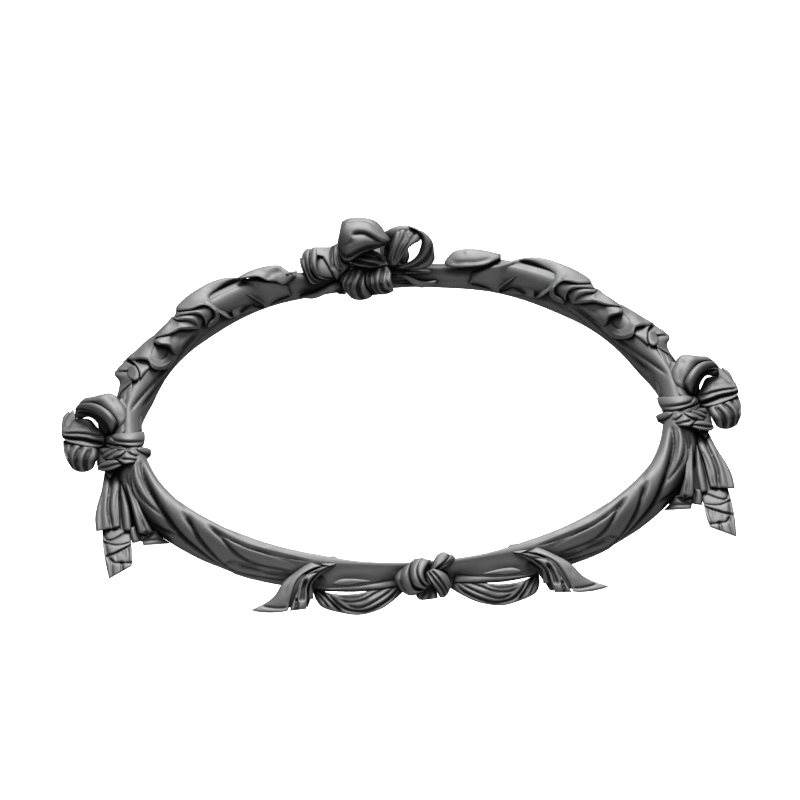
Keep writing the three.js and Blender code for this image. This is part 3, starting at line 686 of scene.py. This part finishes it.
@dataclass(frozen=True)
class LowerCloth(Drapery):
    """The ribbon over the lower part of the bar with its flared tail, and the swag below."""

    cloths: tuple[Cloth, ...] = (
        Cloth("308 564 30, 291 580 30, 282 595 27, 259 609 24",
              "338 566 27, 319 582 27, 312 596 24, 308 607 22", 1),
        Cloth("311 562 38, 304 566 40, 295 572.5 41, 286 579.5 41, 280.5 586 40, 275 595 37, 266 602.5 34, "
              "251 610 33", "322 566 40, 312 569.5 41, 304 574 42, 298 580 42, 294.5 587 41, 292 595 39, "
              "290 603 36, 288 610.5 35", 3, (Crease("262 606, 270 607.5, 280 608, 288 607", 1.6, 1.6),
              Crease("312 564, 300 570, 291 579, 286 588, 283 598", 1, 3)), 2.6, 3, 3),
        Cloth("322 567 40, 311 572 42, 303 578 43, 299 586 42, 296 595 40, 289.5 611 36",
              "330 566 38, 318 573 40, 311 580 41, 307 588 40, 307 597 38, 306.5 609 34", 3, (
              Crease("322 570.5, 312 573.5, 304 577, 300 581, 298 590, 296 602", 2.4, 1.6),
              Crease("306 579, 303.5 588, 302.5 596, 302 602", 4.5, 2.8),
              Crease("296.5 598, 296.7 606, 296.5 613", 3, 1.8)), 2.6, 3),
        Cloth("333 565 36, 322 570 38, 315 577 38, 310.5 583 38, 309 589 36, 307.5 599 32",
              "338.5 564.5 34, 326 571 35, 318 577.5 35, 312.5 585 34, 313 592 32, 314 599 29",
              1.5, (), 2.4, 2.4),
        Cloth("311 562 37, 322 557 34, 334 556 31", "329 566.5 40, 336 564.5 38, 343 561 34", 1.5, (
              Crease("312 566, 322 563.5, 338 561", 0.8, 2),)),
        Cloth("333 583 37, 340 579.3 38, 350 578.6 38, 360 579.3 38, 371 580.8 36",
              "333 584.5 36, 340 585.5 35, 350 585.3 35, 360 583.5 36, 371 582 36", 2, (), 2, 2.4),
        Cloth("311 585 24, 325 587.5 26, 338 587.8 27, 358 586.3 27, 372 584 26, 384 581.6 25, "
              "397 577.5 24",
              "314 589 22, 330 591.2 24, 345 592 25, 358 591.8 25, 372 590.3 24, 388 588 23, 400 586 22",
              2, (), 2, 2.4),
        Cloth("313 587.5 20, 322 590.5 22, 331 593.3 25, 345 594.2 26, 359 593.2 26, 372 590 24, "
              "386 587.5 22, 400 585 21", "313 592 16, 316 600 18, 323 607.7 19, 340 612.7 21, 360 615 21, "
              "380 609.5 20, 393 601 18, 403 592 16", 5, (
              Crease("310 586, 317.5 593.8, 322.5 600, 330 609", 2, 1.6),
              Crease("318 588, 325 596, 332.5 603.8, 342 612.5", 4, 1.8), Crease("324 589, 332.5 598.8, "
              "341 606, 348.8 610, 360 611.5, 370 610, 382.5 603.8, 392.5 596, 400 586", 3, 1.8),
              Crease("343 603, 350 606, 358 607.5, 366 606, 376 601, 386 594.5, 395 587", 2.4, 1.6),
              Crease("338 599, 347 602, 356 601.8, 366 599, 375 593.8, 384 589", 2.4, 1.5),
              Crease("337 596.5, 348 598, 360 597, 370 592.5", 1.6, 1.4))),
    )


@dataclass(frozen=True)
class BottomKnot(Drapery):
    """The knot at the bottom: a coil, crossing strands, a lobe below and a stub above."""

    hand: Hand = Hand.SINGLE
    cloths: tuple[Cloth, ...] = (
        Cloth("402 566 24, 401 580 24, 407 592 20", "442 560 28, 448 576 28, 442 593 22", 4),
        Cloth("416 593.5 26, 416.5 597 24, 421 600 22, 431 599.3 20",
              "424 587 32, 430 587 33, 436 590 32, 438 598 24", 3, (
              Crease("427 587, 423 594, 420 600", 2, 1.4),
              Crease("431 588, 430 594, 428 600", 2, 1.4)), 2.4, 3),
        Cloth("402 567.5 30, 397 573 32, 395 580 33, 397.5 586 31, 403 592.5 28, 411 595.7 26, 419 594 26",
              "416.5 558 37, 411.5 563 40, 409.5 570 42, 410 578 41, 412.5 585 39, 418 590 37, "
              "427 589.5 35", 6, (
              Crease("403 566, 400.6 573.8, 400.6 579, 402.5 586, 408 594", 2.6, 1.6),), 3, 4),
        Cloth("414 558.8 38, 410.5 565 41, 409.7 572 43, 411 580 43, 415 587 40, 425 590 36",
              "424 557.3 41, 419 564 45, 417.5 571 46, 419 578 46, 422.5 584 43, 429 587 39",
              4, (), 3, 3.6),
        Cloth("421 557.8 41, 417.5 563 44, 416.5 570 46, 418 577 46, 422 583 43, 428 587 40",
              "431.5 560 40, 427 566 44, 424 572 46, 424.5 578 45, 426 582 43, 430 585 40", 4, (), 3, 3.6),
        Cloth("430 570 38, 433 562 40, 437 555 41, 443 551.8 41, 448 553.3 40",
              "434 570.5 40, 440 565 42, 446 560.5 41, 449 557 40, 450 555 39", 2.5, (), 2.6, 3),
        Cloth("432 571 37, 441 565 40, 447 559.5 40, 450 554.3 39, 453 555.3 37",
              "434 572 36, 443 568.5 37, 451 563 37, 455.7 558.5 36", 2, (
              Crease("436 569, 444 565, 453 560", 1.6, 1.2),), 2.4, 3),
        Cloth("425 573 41, 430 583 42, 436 591 37, 440 597.7 27",
              "433 568 42, 441 571 41, 447 575.5 39, 450.7 584 34, 449 592 29, 444.5 597.5 25", 5, (
              Crease("424 572, 430 582.5, 437.5 591, 442 599", 3, 1.6),
              Crease("427 570, 435 581, 442.5 590, 446 598", 3.4, 1.6),
              Crease("430 569, 439 579, 445 587, 449 595", 3, 1.6),
              Crease("425 576, 429 585, 434 592, 436 599", 2.4, 1.4)), 3, 4),
    )


@dataclass(frozen=True)
class TopBow(Drapery):
    """The bow at the top: three loops, two hanging bundles, cloth ends and flaps."""

    hand: Hand = Hand.SINGLE
    cloths: tuple[Cloth, ...] = (
        # The loop on the left.
        Cloth("305 249 28, 305 266 27, 311 278 22", "317 248.5 30, 317 266 29, 323 280 24", 1),
        Cloth("299.5 258 16, 300.5 266 16, 304 275 16", "303 257 18, 304 266 18, 308 275 18", 1),
        Cloth("305 250 35, 302 255 36, 302 265 35, 305 274 31, 311 284 27, 320 284.5 24, 334 281.5 24",
              "311 248.5 38, 309.5 256 40, 309.5 265 38, 311 272 35, 315 277.5 31, 322 280 29, 334 279 27",
              3, (Crease("303 253, 304.5 262, 307 271, 311 278.5, 318 282, 335 281", 3, 2),)),
        Cloth("312 247.5 40, 310.5 256 41, 310.5 266 40, 313 272 37, 318 277.5 33, 325 280 30, "
              "334 279.5 28",
              "318 247.5 40, 317 257 42, 317 266 40, 318 271 37, 321 275 33, 326 277 31, 335 277.5 29",
              2.5, (Crease("311.5 262, 313 270, 318 275.5, 326 278.5, 336 278.5", 2, 1.3),), 2.4),
        Cloth("311 252 38, 311 266 37, 315 277 32", "330 252 38, 332 266 36, 335 278 31", 2, (
              Crease("319 252, 317 258, 314.5 266, 314 272", 2, 2),)),
        Cloth("312 247.3 40, 316 247 40, 321 247 39, 328 247 37, 333 246.5 35",
              "312.5 257 41, 317 256 41, 321 256.5 41, 326 258 40, 331 260 38", 1.5),
        Cloth("319.5 253 40, 323 259 40, 327.5 266.5 38, 332 274 34, 337 280 31",
              "333 245 35, 334 255 38, 337 262 38, 342 269 35, 345 273 32", 3, (
              Crease("332.8 246, 332.3 255, 332 262, 333 270", 2.2, 2),
              Crease("320 255, 327 266, 333 276", 1, 1.6))),
        Cloth("333 245.5 35, 332.8 255 39, 333.5 264 39, 336 271 36, 338 278 31",
              "339 242 38, 341 251 40, 343.5 260 41, 350 263 41, 350 268 38", 2.5, (
              Crease("337 245, 336.8 255, 339 264, 343 271", 2.2, 1.8),
              Crease("334.5 270, 337 274, 341 270", 2.4, 1.6))),
        Cloth("336 272 31, 338 278 29, 341 284 27", "344 268 36, 350 269 36, 350 277 34", 1),
        # The ball in the middle and the folds below it.
        Cloth("380 240 35, 380 252 34, 382 266 30", "400 240 37, 400 252 35, 402 266 30", 1),
        Cloth("340 252 20, 342 268 20, 344 290 18", "392 236 24, 398 256 22, 398 276 20", 0),
        Cloth("353 256 45, 364 250.5 47, 372 250 48, 379 253 46, 384 259 42, 389 264 38",
              "350 261 43, 354 265 45, 362 267 45, 371 267.5 44, 380 267 42, 388 265.5 38", 4, (
              Crease("358 254, 368 256, 376 258.5, 388 263.5", 4, 2),
              Crease("352 259, 360 262, 368 264, 380 265.8", 4, 1.8),
              Crease("366 251, 374 254.5, 382 260", 3, 1.6))),
        Cloth("347 262 36, 356 263 38, 368 266 38", "348 272 32, 358 272 34, 369 271 34", 1),
        Cloth("341.5 221.5 64, 349.5 218 68, 360 217.5 69, 371 219 68, 379 223.5 64, 385 231.5 58, "
              "391 240 51",
              "337.5 241 50, 338.5 251 46, 342 260 45, 350 262.5 45, 361 256 48, 374 250 50, 389 244 50",
              20, (Crease("342 228, 350 223.5, 358 221.8, 366 223, 373 227, 380 233, 390 242", 1.4, 1.6),
              Crease("351 235, 356 233.5, 361 233, 366 234, 373 237.5, 380 241, 389 244", 2.4, 2.4, 1.2, 7),
              Crease("334 243, 341 244.8, 347 243.5, 353 240", 1.6, 2.4), Crease("334 244, 339 249.5, "
              "345 255.2, 349 255.2, 354 252.7, 361 249.3, 370 246.6, 379 245, 390 243.4", 3, 2.4, 1.6,
              7)), 4, 7),
        Cloth("382 233 46, 384 240 48, 385 247 46, 383 256 40",
              "391 231 44, 393 237 46, 391 246 45, 386 257 39", 2, (
              Crease("388 234, 389 241, 386 250", 2, 1.6),)),
        # The open loop on the right.
        Cloth("384 232 52, 395 226.5 56, 408 225.5 57, 418 229 55",
              "386 242 46, 398 238 50, 408 236 51, 420 240 48", 2),
        Cloth("401 250 34, 399 258 32, 402 267 30", "408 248 36, 409.5 257 34, 406 266 30", 3),
        Cloth("408 226 58, 416 231.5 55, 421 240.5 50, 420 248 44, 417 255 38, 411 260.5 34, 404 263 31, "
              "396 263 30", "413 228.5 56, 424 232 55, 432.3 241 50, 434.3 252 43, 434.5 260 36, "
              "428 267 31, 415 270 29, 397 269 28", 6, (
              Crease("434 243, 431 250, 428 256, 423 261.5, 414 266.5, 402 269", 3, 2.2),
              Crease("420 233, 422.5 242, 421.5 250, 418 257", 1.6, 1.8))),
        Cloth("396.5 227.7 55, 393.5 236 53, 390 247 48, 387 256 42, 388 263 37",
              "421 231.5 56, 420.5 240 53, 413 244.7 52, 407.5 249.5 49, 402.5 257 43, 398 264 36", 5, (
              Crease("401 225, 397.5 240, 391 256, 390 265", 1.4, 2),
              Crease("408 225, 404 237, 397 250, 393 264", 2.6, 2),
              Crease("413 226, 407 239, 400 251, 395 264", 2, 1.6),
              Crease("417 228, 411 239, 403.5 250, 398 261", 2, 1.5)), 3.4, 5, 3),
        # The hanging bundles.
        Cloth("349 268 36, 345 276 38, 342.7 283 37, 344 290 32, 350 297 25",
              "364.5 267 39, 364.5 275 42, 364.5 283 41, 367 290 36, 373 295 28", 6, (
              Crease("353 266, 349 277, 346 284, 346.5 291, 351 299", 4, 2.2),
              Crease("358.5 266, 354 277, 350.8 285, 350.5 291, 354 300", 4, 2.2),
              Crease("365.5 266, 362 276, 359 284, 358.3 290, 361.5 296.5, 368 301", 4.6, 2.4)), 4, 5, 5),
        Cloth("366 268 36, 365 277 39, 367 286 37, 373 293 29",
              "386 264 39, 390.5 272 38, 391 280 39, 394 290.5 30", 6, (
              Crease("372.5 265, 369.7 275, 369 284, 372 291, 379 298", 4.4, 2.2),
              Crease("377 265, 374 274, 373.8 283, 376.5 290, 385 299", 4, 2.2),
              Crease("384 266, 381.8 277, 380.8 285, 383.5 290, 392 292.5", 4, 2.2),
              Crease("388.5 270, 387 278, 387 284, 391 287", 2.4, 1.6)), 4, 5, 3.4),
        Cloth("362 268 32, 363 280 32, 366 296 25", "374 268 32, 374 280 32, 378 295 25", 1),
        # Cloth ends along the bar.
        Cloth("297 287 12, 310 283.5 15, 323 283 17, 336 281.5 20",
              "298 298 8, 310 296 10, 322 292 13, 337 289 15", 2, (
              Crease("299 290, 309 287, 320 285.5, 334 283.5", 2.4, 1.6),
              Crease("298 294, 307 290.5, 317 288.5, 330 287", 2.4, 1.6),
              Crease("302 293.5, 311 291, 322 289", 1.6, 1.2)), 2),
        Cloth("338 281 26, 330 283.5 24, 323 287.5 21, 315 291.5 17, 306 293.5 13, 298 296 10",
              "342 287 23, 334 291.5 21, 326 294 18, 320 297 15, 312 299 12, 302 298 9", 3),
        Cloth("334 284 18, 334.5 290 15, 338 294 12", "343 281 26, 346 288 22, 346 295 16", 2, (
              Crease("339 281, 341 288, 340 295", 3, 1.6), Crease("335 290, 341 291, 346 289", 2, 1.2))),
        Cloth("391 276.5 18, 405 275.5 18, 420 273 18, 437 271 18",
              "391 285 12, 405 286 12, 420 285.5 12, 437 284 12", 2, (
              Crease("389 280.5, 405 280, 420 278.5, 438 277", 3, 1.8),
              Crease("391 283, 410 282.8, 438 281", 2.4, 1.3),
              Crease("402 277.5, 418 276, 437 274", 2.4, 1.4)), 2),
        Cloth("401.5 274.5 25, 409 275.5 25, 417 279.5 23, 426 281.5 20, 437 280 18",
              "401.5 276.5 23, 408 280.5 22, 414 285 19, 422 288 17, 437 284 15", 2, (), 2, 3),
        Cloth("404 271 26, 414 270 26, 428 268 24, 440 263 22",
              "404 275 24, 416 274 24, 430 274 22, 446 272 18", 1.5),
        Cloth("392 258 16, 398 268 15, 403 278 14", "340 262 14, 350 272 14, 360 280 13", 0),
        # Flaps on both sides.
        Cloth("237 278 43.4, 245 273 43.3, 256 268.5 42.4, 268 265.7 42.3, 279 265.2 40.2, 285 269 38.1, "
              "292 273 36.8", "240 279.5 43.6, 252 277.5 44.1, 260 277.5 44.2, 267 281 41.2, 276 282 37.9, "
              "284 285 32.9, 294 277 34.2", 3, (Crease("266 280, 272 274, 282 271", 1, 3),
              Crease("262 270, 272 267.5, 280 267", -0.6, 3)), 3, 4),
        Cloth("286 273 38.5, 291 271.8 37, 297 270.5 34.1",
              "286 274.5 38.8, 291 273.5 37.6, 297 272.3 35.2", 1, (), 1.2, 1.5),
        Cloth("444 262 36, 452 252.5 42, 463 249 44, 480 249.5 43, 501 254 40",
              "446 266.5 36, 458 267.5 40, 470 267 42, 486 265 42, 501 259 40", 3, (
              Crease("448 264, 462 262.5, 478 262, 492 258", 1.4, 3),
              Crease("452 263, 458 256, 466 252", 1, 4)), 3, 4),
    )


@dataclass(frozen=True)
class Pad:
    """The flat hanging pad behind the top bow.

    Args:
        wide: Its width.
        tall: Its height.
        deep: How far it reaches out of the wall.
    """

    wide: float = 56.0
    tall: float = 26.0
    deep: float = 14.0

    def skin(self) -> Skin:
        """Makes the pad.

        Returns:
            Its closed skin.
        """
        x, low, top = self.wide / 2, MIDDLE - self.tall / 2, MIDDLE + self.tall / 2
        ring = [(-x, low), (x, low), (x, top), (-x, top)]
        return closed(np.array([[(*place, h) for place in ring] for h in (0.0, self.deep)]))


class Link:
    """A socket of a shader, on which sums are written as plain expressions."""

    def __init__(self, shader: "Shader", socket: bpy.types.NodeSocket) -> None:
        """Keeps the shader and its socket."""
        self.shader, self.socket = shader, socket

    def _sum(self, operation: str, one: object, two: object) -> "Link":
        """A Math node on two values or links."""
        return self.shader.node("ShaderNodeMath", {"operation": operation}, {0: one, 1: two})

    def __add__(self, other: object) -> "Link":
        """Sum."""
        return self._sum("ADD", self, other)

    def __radd__(self, other: object) -> "Link":
        """Sum, from the right."""
        return self._sum("ADD", other, self)

    def __sub__(self, other: object) -> "Link":
        """Difference."""
        return self._sum("SUBTRACT", self, other)

    def __rsub__(self, other: object) -> "Link":
        """Difference, from the right."""
        return self._sum("SUBTRACT", other, self)

    def __mul__(self, other: object) -> "Link":
        """Product."""
        return self._sum("MULTIPLY", self, other)

    def __rmul__(self, other: object) -> "Link":
        """Product, from the right."""
        return self._sum("MULTIPLY", other, self)


class Shader:
    """A material's nodes."""

    def __init__(self, name: str) -> None:
        """Starts an empty material.

        Args:
            name: The finish's name.
        """
        self.material = bpy.data.materials.new(name)
        self.material.use_nodes = True
        self.tree = self.material.node_tree
        self.tree.nodes.clear()

    def node(self, kind: str, settings: dict[str, object], sockets: dict[int | str, object],
             out: int | str = 0) -> Link:
        """Adds a node.

        Args:
            kind: The node's type.
            settings: Its own settings, set first; ramp holds a colour ramp's stops.
            sockets: Values or links by socket.
            out: The socket that is handed back.

        Returns:
            Its chosen output.
        """
        made = self.tree.nodes.new(kind)
        for key, value in settings.items():
            if key == "ramp":
                stops = made.color_ramp.elements
                while len(stops) < len(value):
                    stops.new(0.5)
                for stop, (place, grey) in zip(stops, value):
                    stop.position, stop.color = place, (grey, grey, grey, 1)
            else:
                setattr(made, key, value)
        for key, value in sockets.items():
            if isinstance(value, Link):
                self.tree.links.new(value.socket, made.inputs[key])
            else:
                made.inputs[key].default_value = value
        return Link(self, made.outputs[out])

    def finish(self, skin: Link) -> bpy.types.Material:
        """Joins the surface to the material's output.

        Args:
            skin: The surface.

        Returns:
            The material.
        """
        made = self.tree.nodes.new("ShaderNodeOutputMaterial")
        self.tree.links.new(skin.socket, made.inputs["Surface"])
        return self.material


@dataclass(frozen=True)
class GraphiteFinish:
    """Satin graphite-grey paint over carved wood, with painted shade: occlusion darkens its colour in the
    hollows and creases, and open crests are left lightest.

    Args:
        name: The material's name.
        shades: Painted shade, as grey from the most occluded hollows, at 0, to open crests, at 1.
        hollow: How far the occlusion reaches that paints shade into the hollows and makes them duller, in
            metres.
        roughness: How dull the paint is.
        uneven: How much duller or brighter it is from place to place.
        dusty: How much duller it is in the hollows.
        shine: Strength of its mirror-like part.
        cool: How much bluer than grey the mottling is.
        mottle: Size of the mottling, in patches to a metre, and its share of the colour.
        grain: Size of the fine grain, in grains to a metre, and its strength.
        grain_height: Height of the grain, in metres.
    """

    name: str = "satin_graphite_paint_with_painted_shade"
    shades: tuple[tuple[float, float], ...] = ((0.0, 0.0005), (0.5, 0.002), (0.8, 0.012), (1.0, 0.05))
    hollow: float = 0.018
    roughness: float = 0.55
    uneven: float = 0.14
    dusty: float = 0.2
    shine: float = 0.06
    cool: float = 0.02
    mottle: tuple[float, float] = (55.0, 0.16)
    grain: tuple[float, float] = (420.0, 0.12)
    grain_height: float = 0.0006

    def material(self) -> bpy.types.Material:
        """Builds the finish.

        Returns:
            The material.
        """
        s = Shader(self.name)
        where = s.node("ShaderNodeTexCoord", {}, {}, "Object")
        # Painted shade: ambient occlusion within the frame sets how dark the base colour is, near black in
        # creases and lightest on open crests.
        open_air = s.node("ShaderNodeAmbientOcclusion", {"samples": 16, "only_local": True},
                          {"Distance": self.hollow}, "AO")
        mottle = s.node("ShaderNodeTexNoise", {}, {"Vector": where, "Scale": self.mottle[0], "Detail": 5.0})
        grain = s.node("ShaderNodeTexNoise", {}, {"Vector": where, "Scale": self.grain[0], "Detail": 3.0})
        shade = s.node("ShaderNodeValToRGB", {"ramp": self.shades}, {"Fac": open_air}, "Color")
        patch = s.node("ShaderNodeCombineColor", {}, {
            "Red": mottle, "Green": mottle, "Blue": mottle + self.cool})
        # The base colour is that painted shade multiplied by the paint's random mottling.
        painted_shade_and_mottle = s.node("ShaderNodeMix", {"data_type": "RGBA", "blend_type": "MULTIPLY"},
                      {"Factor": self.mottle[1], 6: shade, 7: patch}, 2)
        dull = self.roughness + (mottle - 0.5) * self.uneven + (1 - open_air) * self.dusty
        bump = s.node("ShaderNodeBump", {}, {"Strength": self.grain[1], "Distance": self.grain_height,
                                             "Height": grain}, "Normal")
        return s.finish(s.node("ShaderNodeBsdfPrincipled", {}, {
            "Base Color": painted_shade_and_mottle, "Roughness": dull, "Normal": bump, "Specular IOR Level": self.shine}))


@dataclass(frozen=True)
class Carving:
    """The whole carved frame as one mesh.

    Args:
        bar: The ring's bar.
        parts: The cloth on it.
        pad: The hanging pad.
        finish: Its finish.
    """

    bar: Bar = Bar()
    parts: tuple[Drapery, ...] = (
        UpperCloth(), SideBow(), Wraps(), SideTails(), LowerCloth(), BottomKnot(), TopBow())
    pad: Pad = Pad()
    finish: GraphiteFinish = GraphiteFinish()

    def skins(self) -> list[Skin]:
        """Makes every skin, on both hands.

        Returns:
            The skins.
        """
        paired, single = [self.bar.skin()], []
        for part in self.parts:
            (paired if part.hand is Hand.PAIRED else single).extend(part.skins())
        return [*paired, *(skin.mirrored() for skin in paired), *single, self.pad.skin()]

    def build(self) -> bpy.types.Object:
        """Joins the skins into one object.

        Returns:
            The frame, in metres.
        """
        points, faces, base = [], [], 0
        for skin in self.skins():
            points.append(skin.points)
            faces.append(skin.faces + base)
            base += len(skin.points)
        x, y, h = np.clip(np.vstack(points), LEAST, MOST).T
        world = np.stack([x, -h, y - MIDDLE], axis=1) / 1000
        mesh = bpy.data.meshes.new("carved_frame_skin")
        mesh.from_pydata(world.tolist(), [], np.vstack(faces).tolist())
        mesh.polygons.foreach_set("use_smooth", [True] * len(mesh.polygons))
        mesh.materials.append(self.finish.material())
        made = bpy.data.objects.new("carved_frame_skin", self._thinned(mesh))
        bpy.context.collection.objects.link(made)
        log.info("carved frame: %d faces", len(made.data.polygons))
        return made

    @staticmethod
    def _thinned(mesh: bpy.types.Mesh) -> bpy.types.Mesh:
        """The mesh with fewer faces where it is nearly flat.

        Args:
            mesh: The full mesh, taken away where it has too many.

        Returns:
            A mesh within the limit.
        """
        if len(mesh.polygons) <= MOST_FACES:
            return mesh
        rough = bpy.data.objects.new("rough", mesh)
        bpy.context.collection.objects.link(rough)
        thin = rough.modifiers.new("thin", "DECIMATE")
        thin.ratio = MOST_FACES / len(mesh.polygons)
        seen = rough.evaluated_get(bpy.context.evaluated_depsgraph_get())
        made = bpy.data.meshes.new_from_object(seen)
        made.name = "carved_frame_skin"
        bpy.data.objects.remove(rough)
        bpy.data.meshes.remove(mesh)
        return made


def world_way(x: float, y: float, h: float) -> Vector:
    """A direction of the ring's frame in the part's frame."""
    return Vector((x, -h, y))


@dataclass(frozen=True)
class Lamp:
    """A soft square lamp turned to the frame's middle.

    Args:
        name: Its name.
        place: Where it stands, in metres.
        size: Its side, in metres.
        power: Its power, in watts.
    """

    name: str
    place: Place
    size: float
    power: float

    def build(self, aim: Vector) -> None:
        """Puts up the lamp.

        Args:
            aim: Where it shines.
        """
        data = bpy.data.lights.new(self.name, "AREA")
        data.size, data.energy = self.size, self.power
        lamp = bpy.data.objects.new(self.name, data)
        lamp.location = self.place
        lamp.rotation_mode = "QUATERNION"
        lamp.rotation_quaternion = (aim - Vector(self.place)).to_track_quat("-Z", "Y")
        bpy.context.collection.objects.link(lamp)


@dataclass(frozen=True)
class Studio:
    """The floor, the backdrop, the light and the camera.

    Args:
        azimuth: The camera's turn to the left of the front, in degrees.
        elevation: Its height above level, in degrees.
        roll: Its roll, in degrees.
        away: Its distance, in metres.
        span: Width of the picture, in metres.
        pixels: The picture's width.
        floor: Half width and height of the floor, in metres.
        board: Half width of the backdrop and its distance behind the frame, in metres.
        glow: The backdrop's own light.
        ambient: Even light from all round.
        lamps: The lamps.
    """

    azimuth: float = 4.15
    elevation: float = 34.1
    roll: float = 1.5
    away: float = 1.5
    span: float = 0.9206
    pixels: int = 800
    floor: tuple[float, float] = (40.0, -3.4)
    board: tuple[float, float] = (0.6, 2.4)
    glow: float = 1.1
    ambient: float = 0.1
    lamps: tuple[Lamp, ...] = (
        Lamp("key", (0.3, -1.35, 2.0), 0.9, 345),
        Lamp("front", (0.1, -2.7, 0.4), 0.9, 26),
        Lamp("low", (-0.4, -1.0, -2.6), 0.8, 78),
    )

    def build(self) -> None:
        """Puts up the floor, the backdrop, the world, the lamps and the camera."""
        aim = Vector((0, 0, -MIDDLE / 1000))
        self._floor()
        self._backdrop(aim)
        self._world()
        for lamp in self.lamps:
            lamp.build(aim)
        self._camera(aim)
        log.info("studio: %d lamps", len(self.lamps))

    def _floor(self) -> None:
        """A plain pale floor well below the frame."""
        w, z = self.floor
        shader = Shader("pale_floor")
        pale = (0.93, 0.93, 0.93, 1)
        paint = shader.node("ShaderNodeBsdfPrincipled", {}, {"Base Color": pale, "Roughness": 0.9})
        self._panel("floor", [Vector((x, y, z)) for x, y in ((-w, -w), (w, -w), (w, w), (-w, w))],
                    shader.finish(paint))

    def _backdrop(self, aim: Vector) -> None:
        """Puts a pale lit board behind the frame, square to the view.

        Args:
            aim: The ring's centre.
        """
        half, behind = self.board
        look = world_way(*LOOK)
        side = look.cross(Vector((0, 0, 1))).normalized()
        up = side.cross(look)
        middle = aim - look * behind
        white = (1, 1, 1, 1)
        shader = Shader("lit_board")
        paint = shader.node("ShaderNodeBsdfPrincipled", {}, {
            "Base Color": white, "Roughness": 1.0, "Emission Color": white, "Emission Strength": self.glow})
        corners = [middle + (side * a + up * b) * half for a, b in ((-1, -1), (1, -1), (1, 1), (-1, 1))]
        self._panel("backdrop", corners, shader.finish(paint))

    @staticmethod
    def _panel(name: str, corners: Sequence[Vector], material: bpy.types.Material) -> None:
        """A flat panel of the stage.

        Args:
            name: Its name.
            corners: Its four corners.
            material: Its finish.
        """
        mesh = bpy.data.meshes.new(name)
        mesh.from_pydata(corners, [], [(0, 1, 2, 3)])
        mesh.materials.append(material)
        panel = bpy.data.objects.new(name, mesh)
        bpy.context.collection.objects.link(panel)

    def _world(self) -> None:
        """Faint even light from all round, and plain tones."""
        world = bpy.data.worlds.new("pale")
        world.use_nodes = True
        back = world.node_tree.nodes["Background"]
        back.inputs["Color"].default_value = (1, 1, 1, 1)
        back.inputs["Strength"].default_value = self.ambient
        bpy.context.scene.world = world
        bpy.context.scene.view_settings.view_transform = "Standard"

    def _camera(self, aim: Vector) -> None:
        """Puts a distant camera at the photograph's angle.

        Args:
            aim: The ring's centre, which the picture shows where the sketch has it.
        """
        a, e, r = map(math.radians, (self.azimuth, self.elevation, self.roll))
        right0 = world_way(math.cos(a), -math.sin(a), 0)
        up0 = world_way(math.sin(a) * math.sin(e), math.cos(a) * math.sin(e), math.cos(e))
        right = right0 * math.cos(r) - up0 * math.sin(r)
        up = right0 * math.sin(r) + up0 * math.cos(r)
        back = right.cross(up)
        scale = self.span / self.pixels
        u, v = map(float, Sketch.CENTRE)
        shift = right * (self.pixels / 2 - u) * scale + up * (v - self.pixels / 2) * scale
        data = bpy.data.cameras.new("camera")
        data.type, data.ortho_scale = "ORTHO", self.span
        camera = bpy.data.objects.new("camera", data)
        place = Matrix.Translation(aim + shift + back * self.away)
        camera.matrix_world = place @ Matrix((right, up, back)).transposed().to_4x4()
        bpy.context.collection.objects.link(camera)
        bpy.context.scene.camera = camera


def main() -> None:
    """Dresses the frame and sets the stage."""
    logging.basicConfig(level=logging.INFO, format="%(name)s: %(message)s")
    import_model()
    carving = Carving().build()
    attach(carving, "root")
    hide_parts("carved_frame")
    Studio().build()


if __name__ == "__main__":
    main()
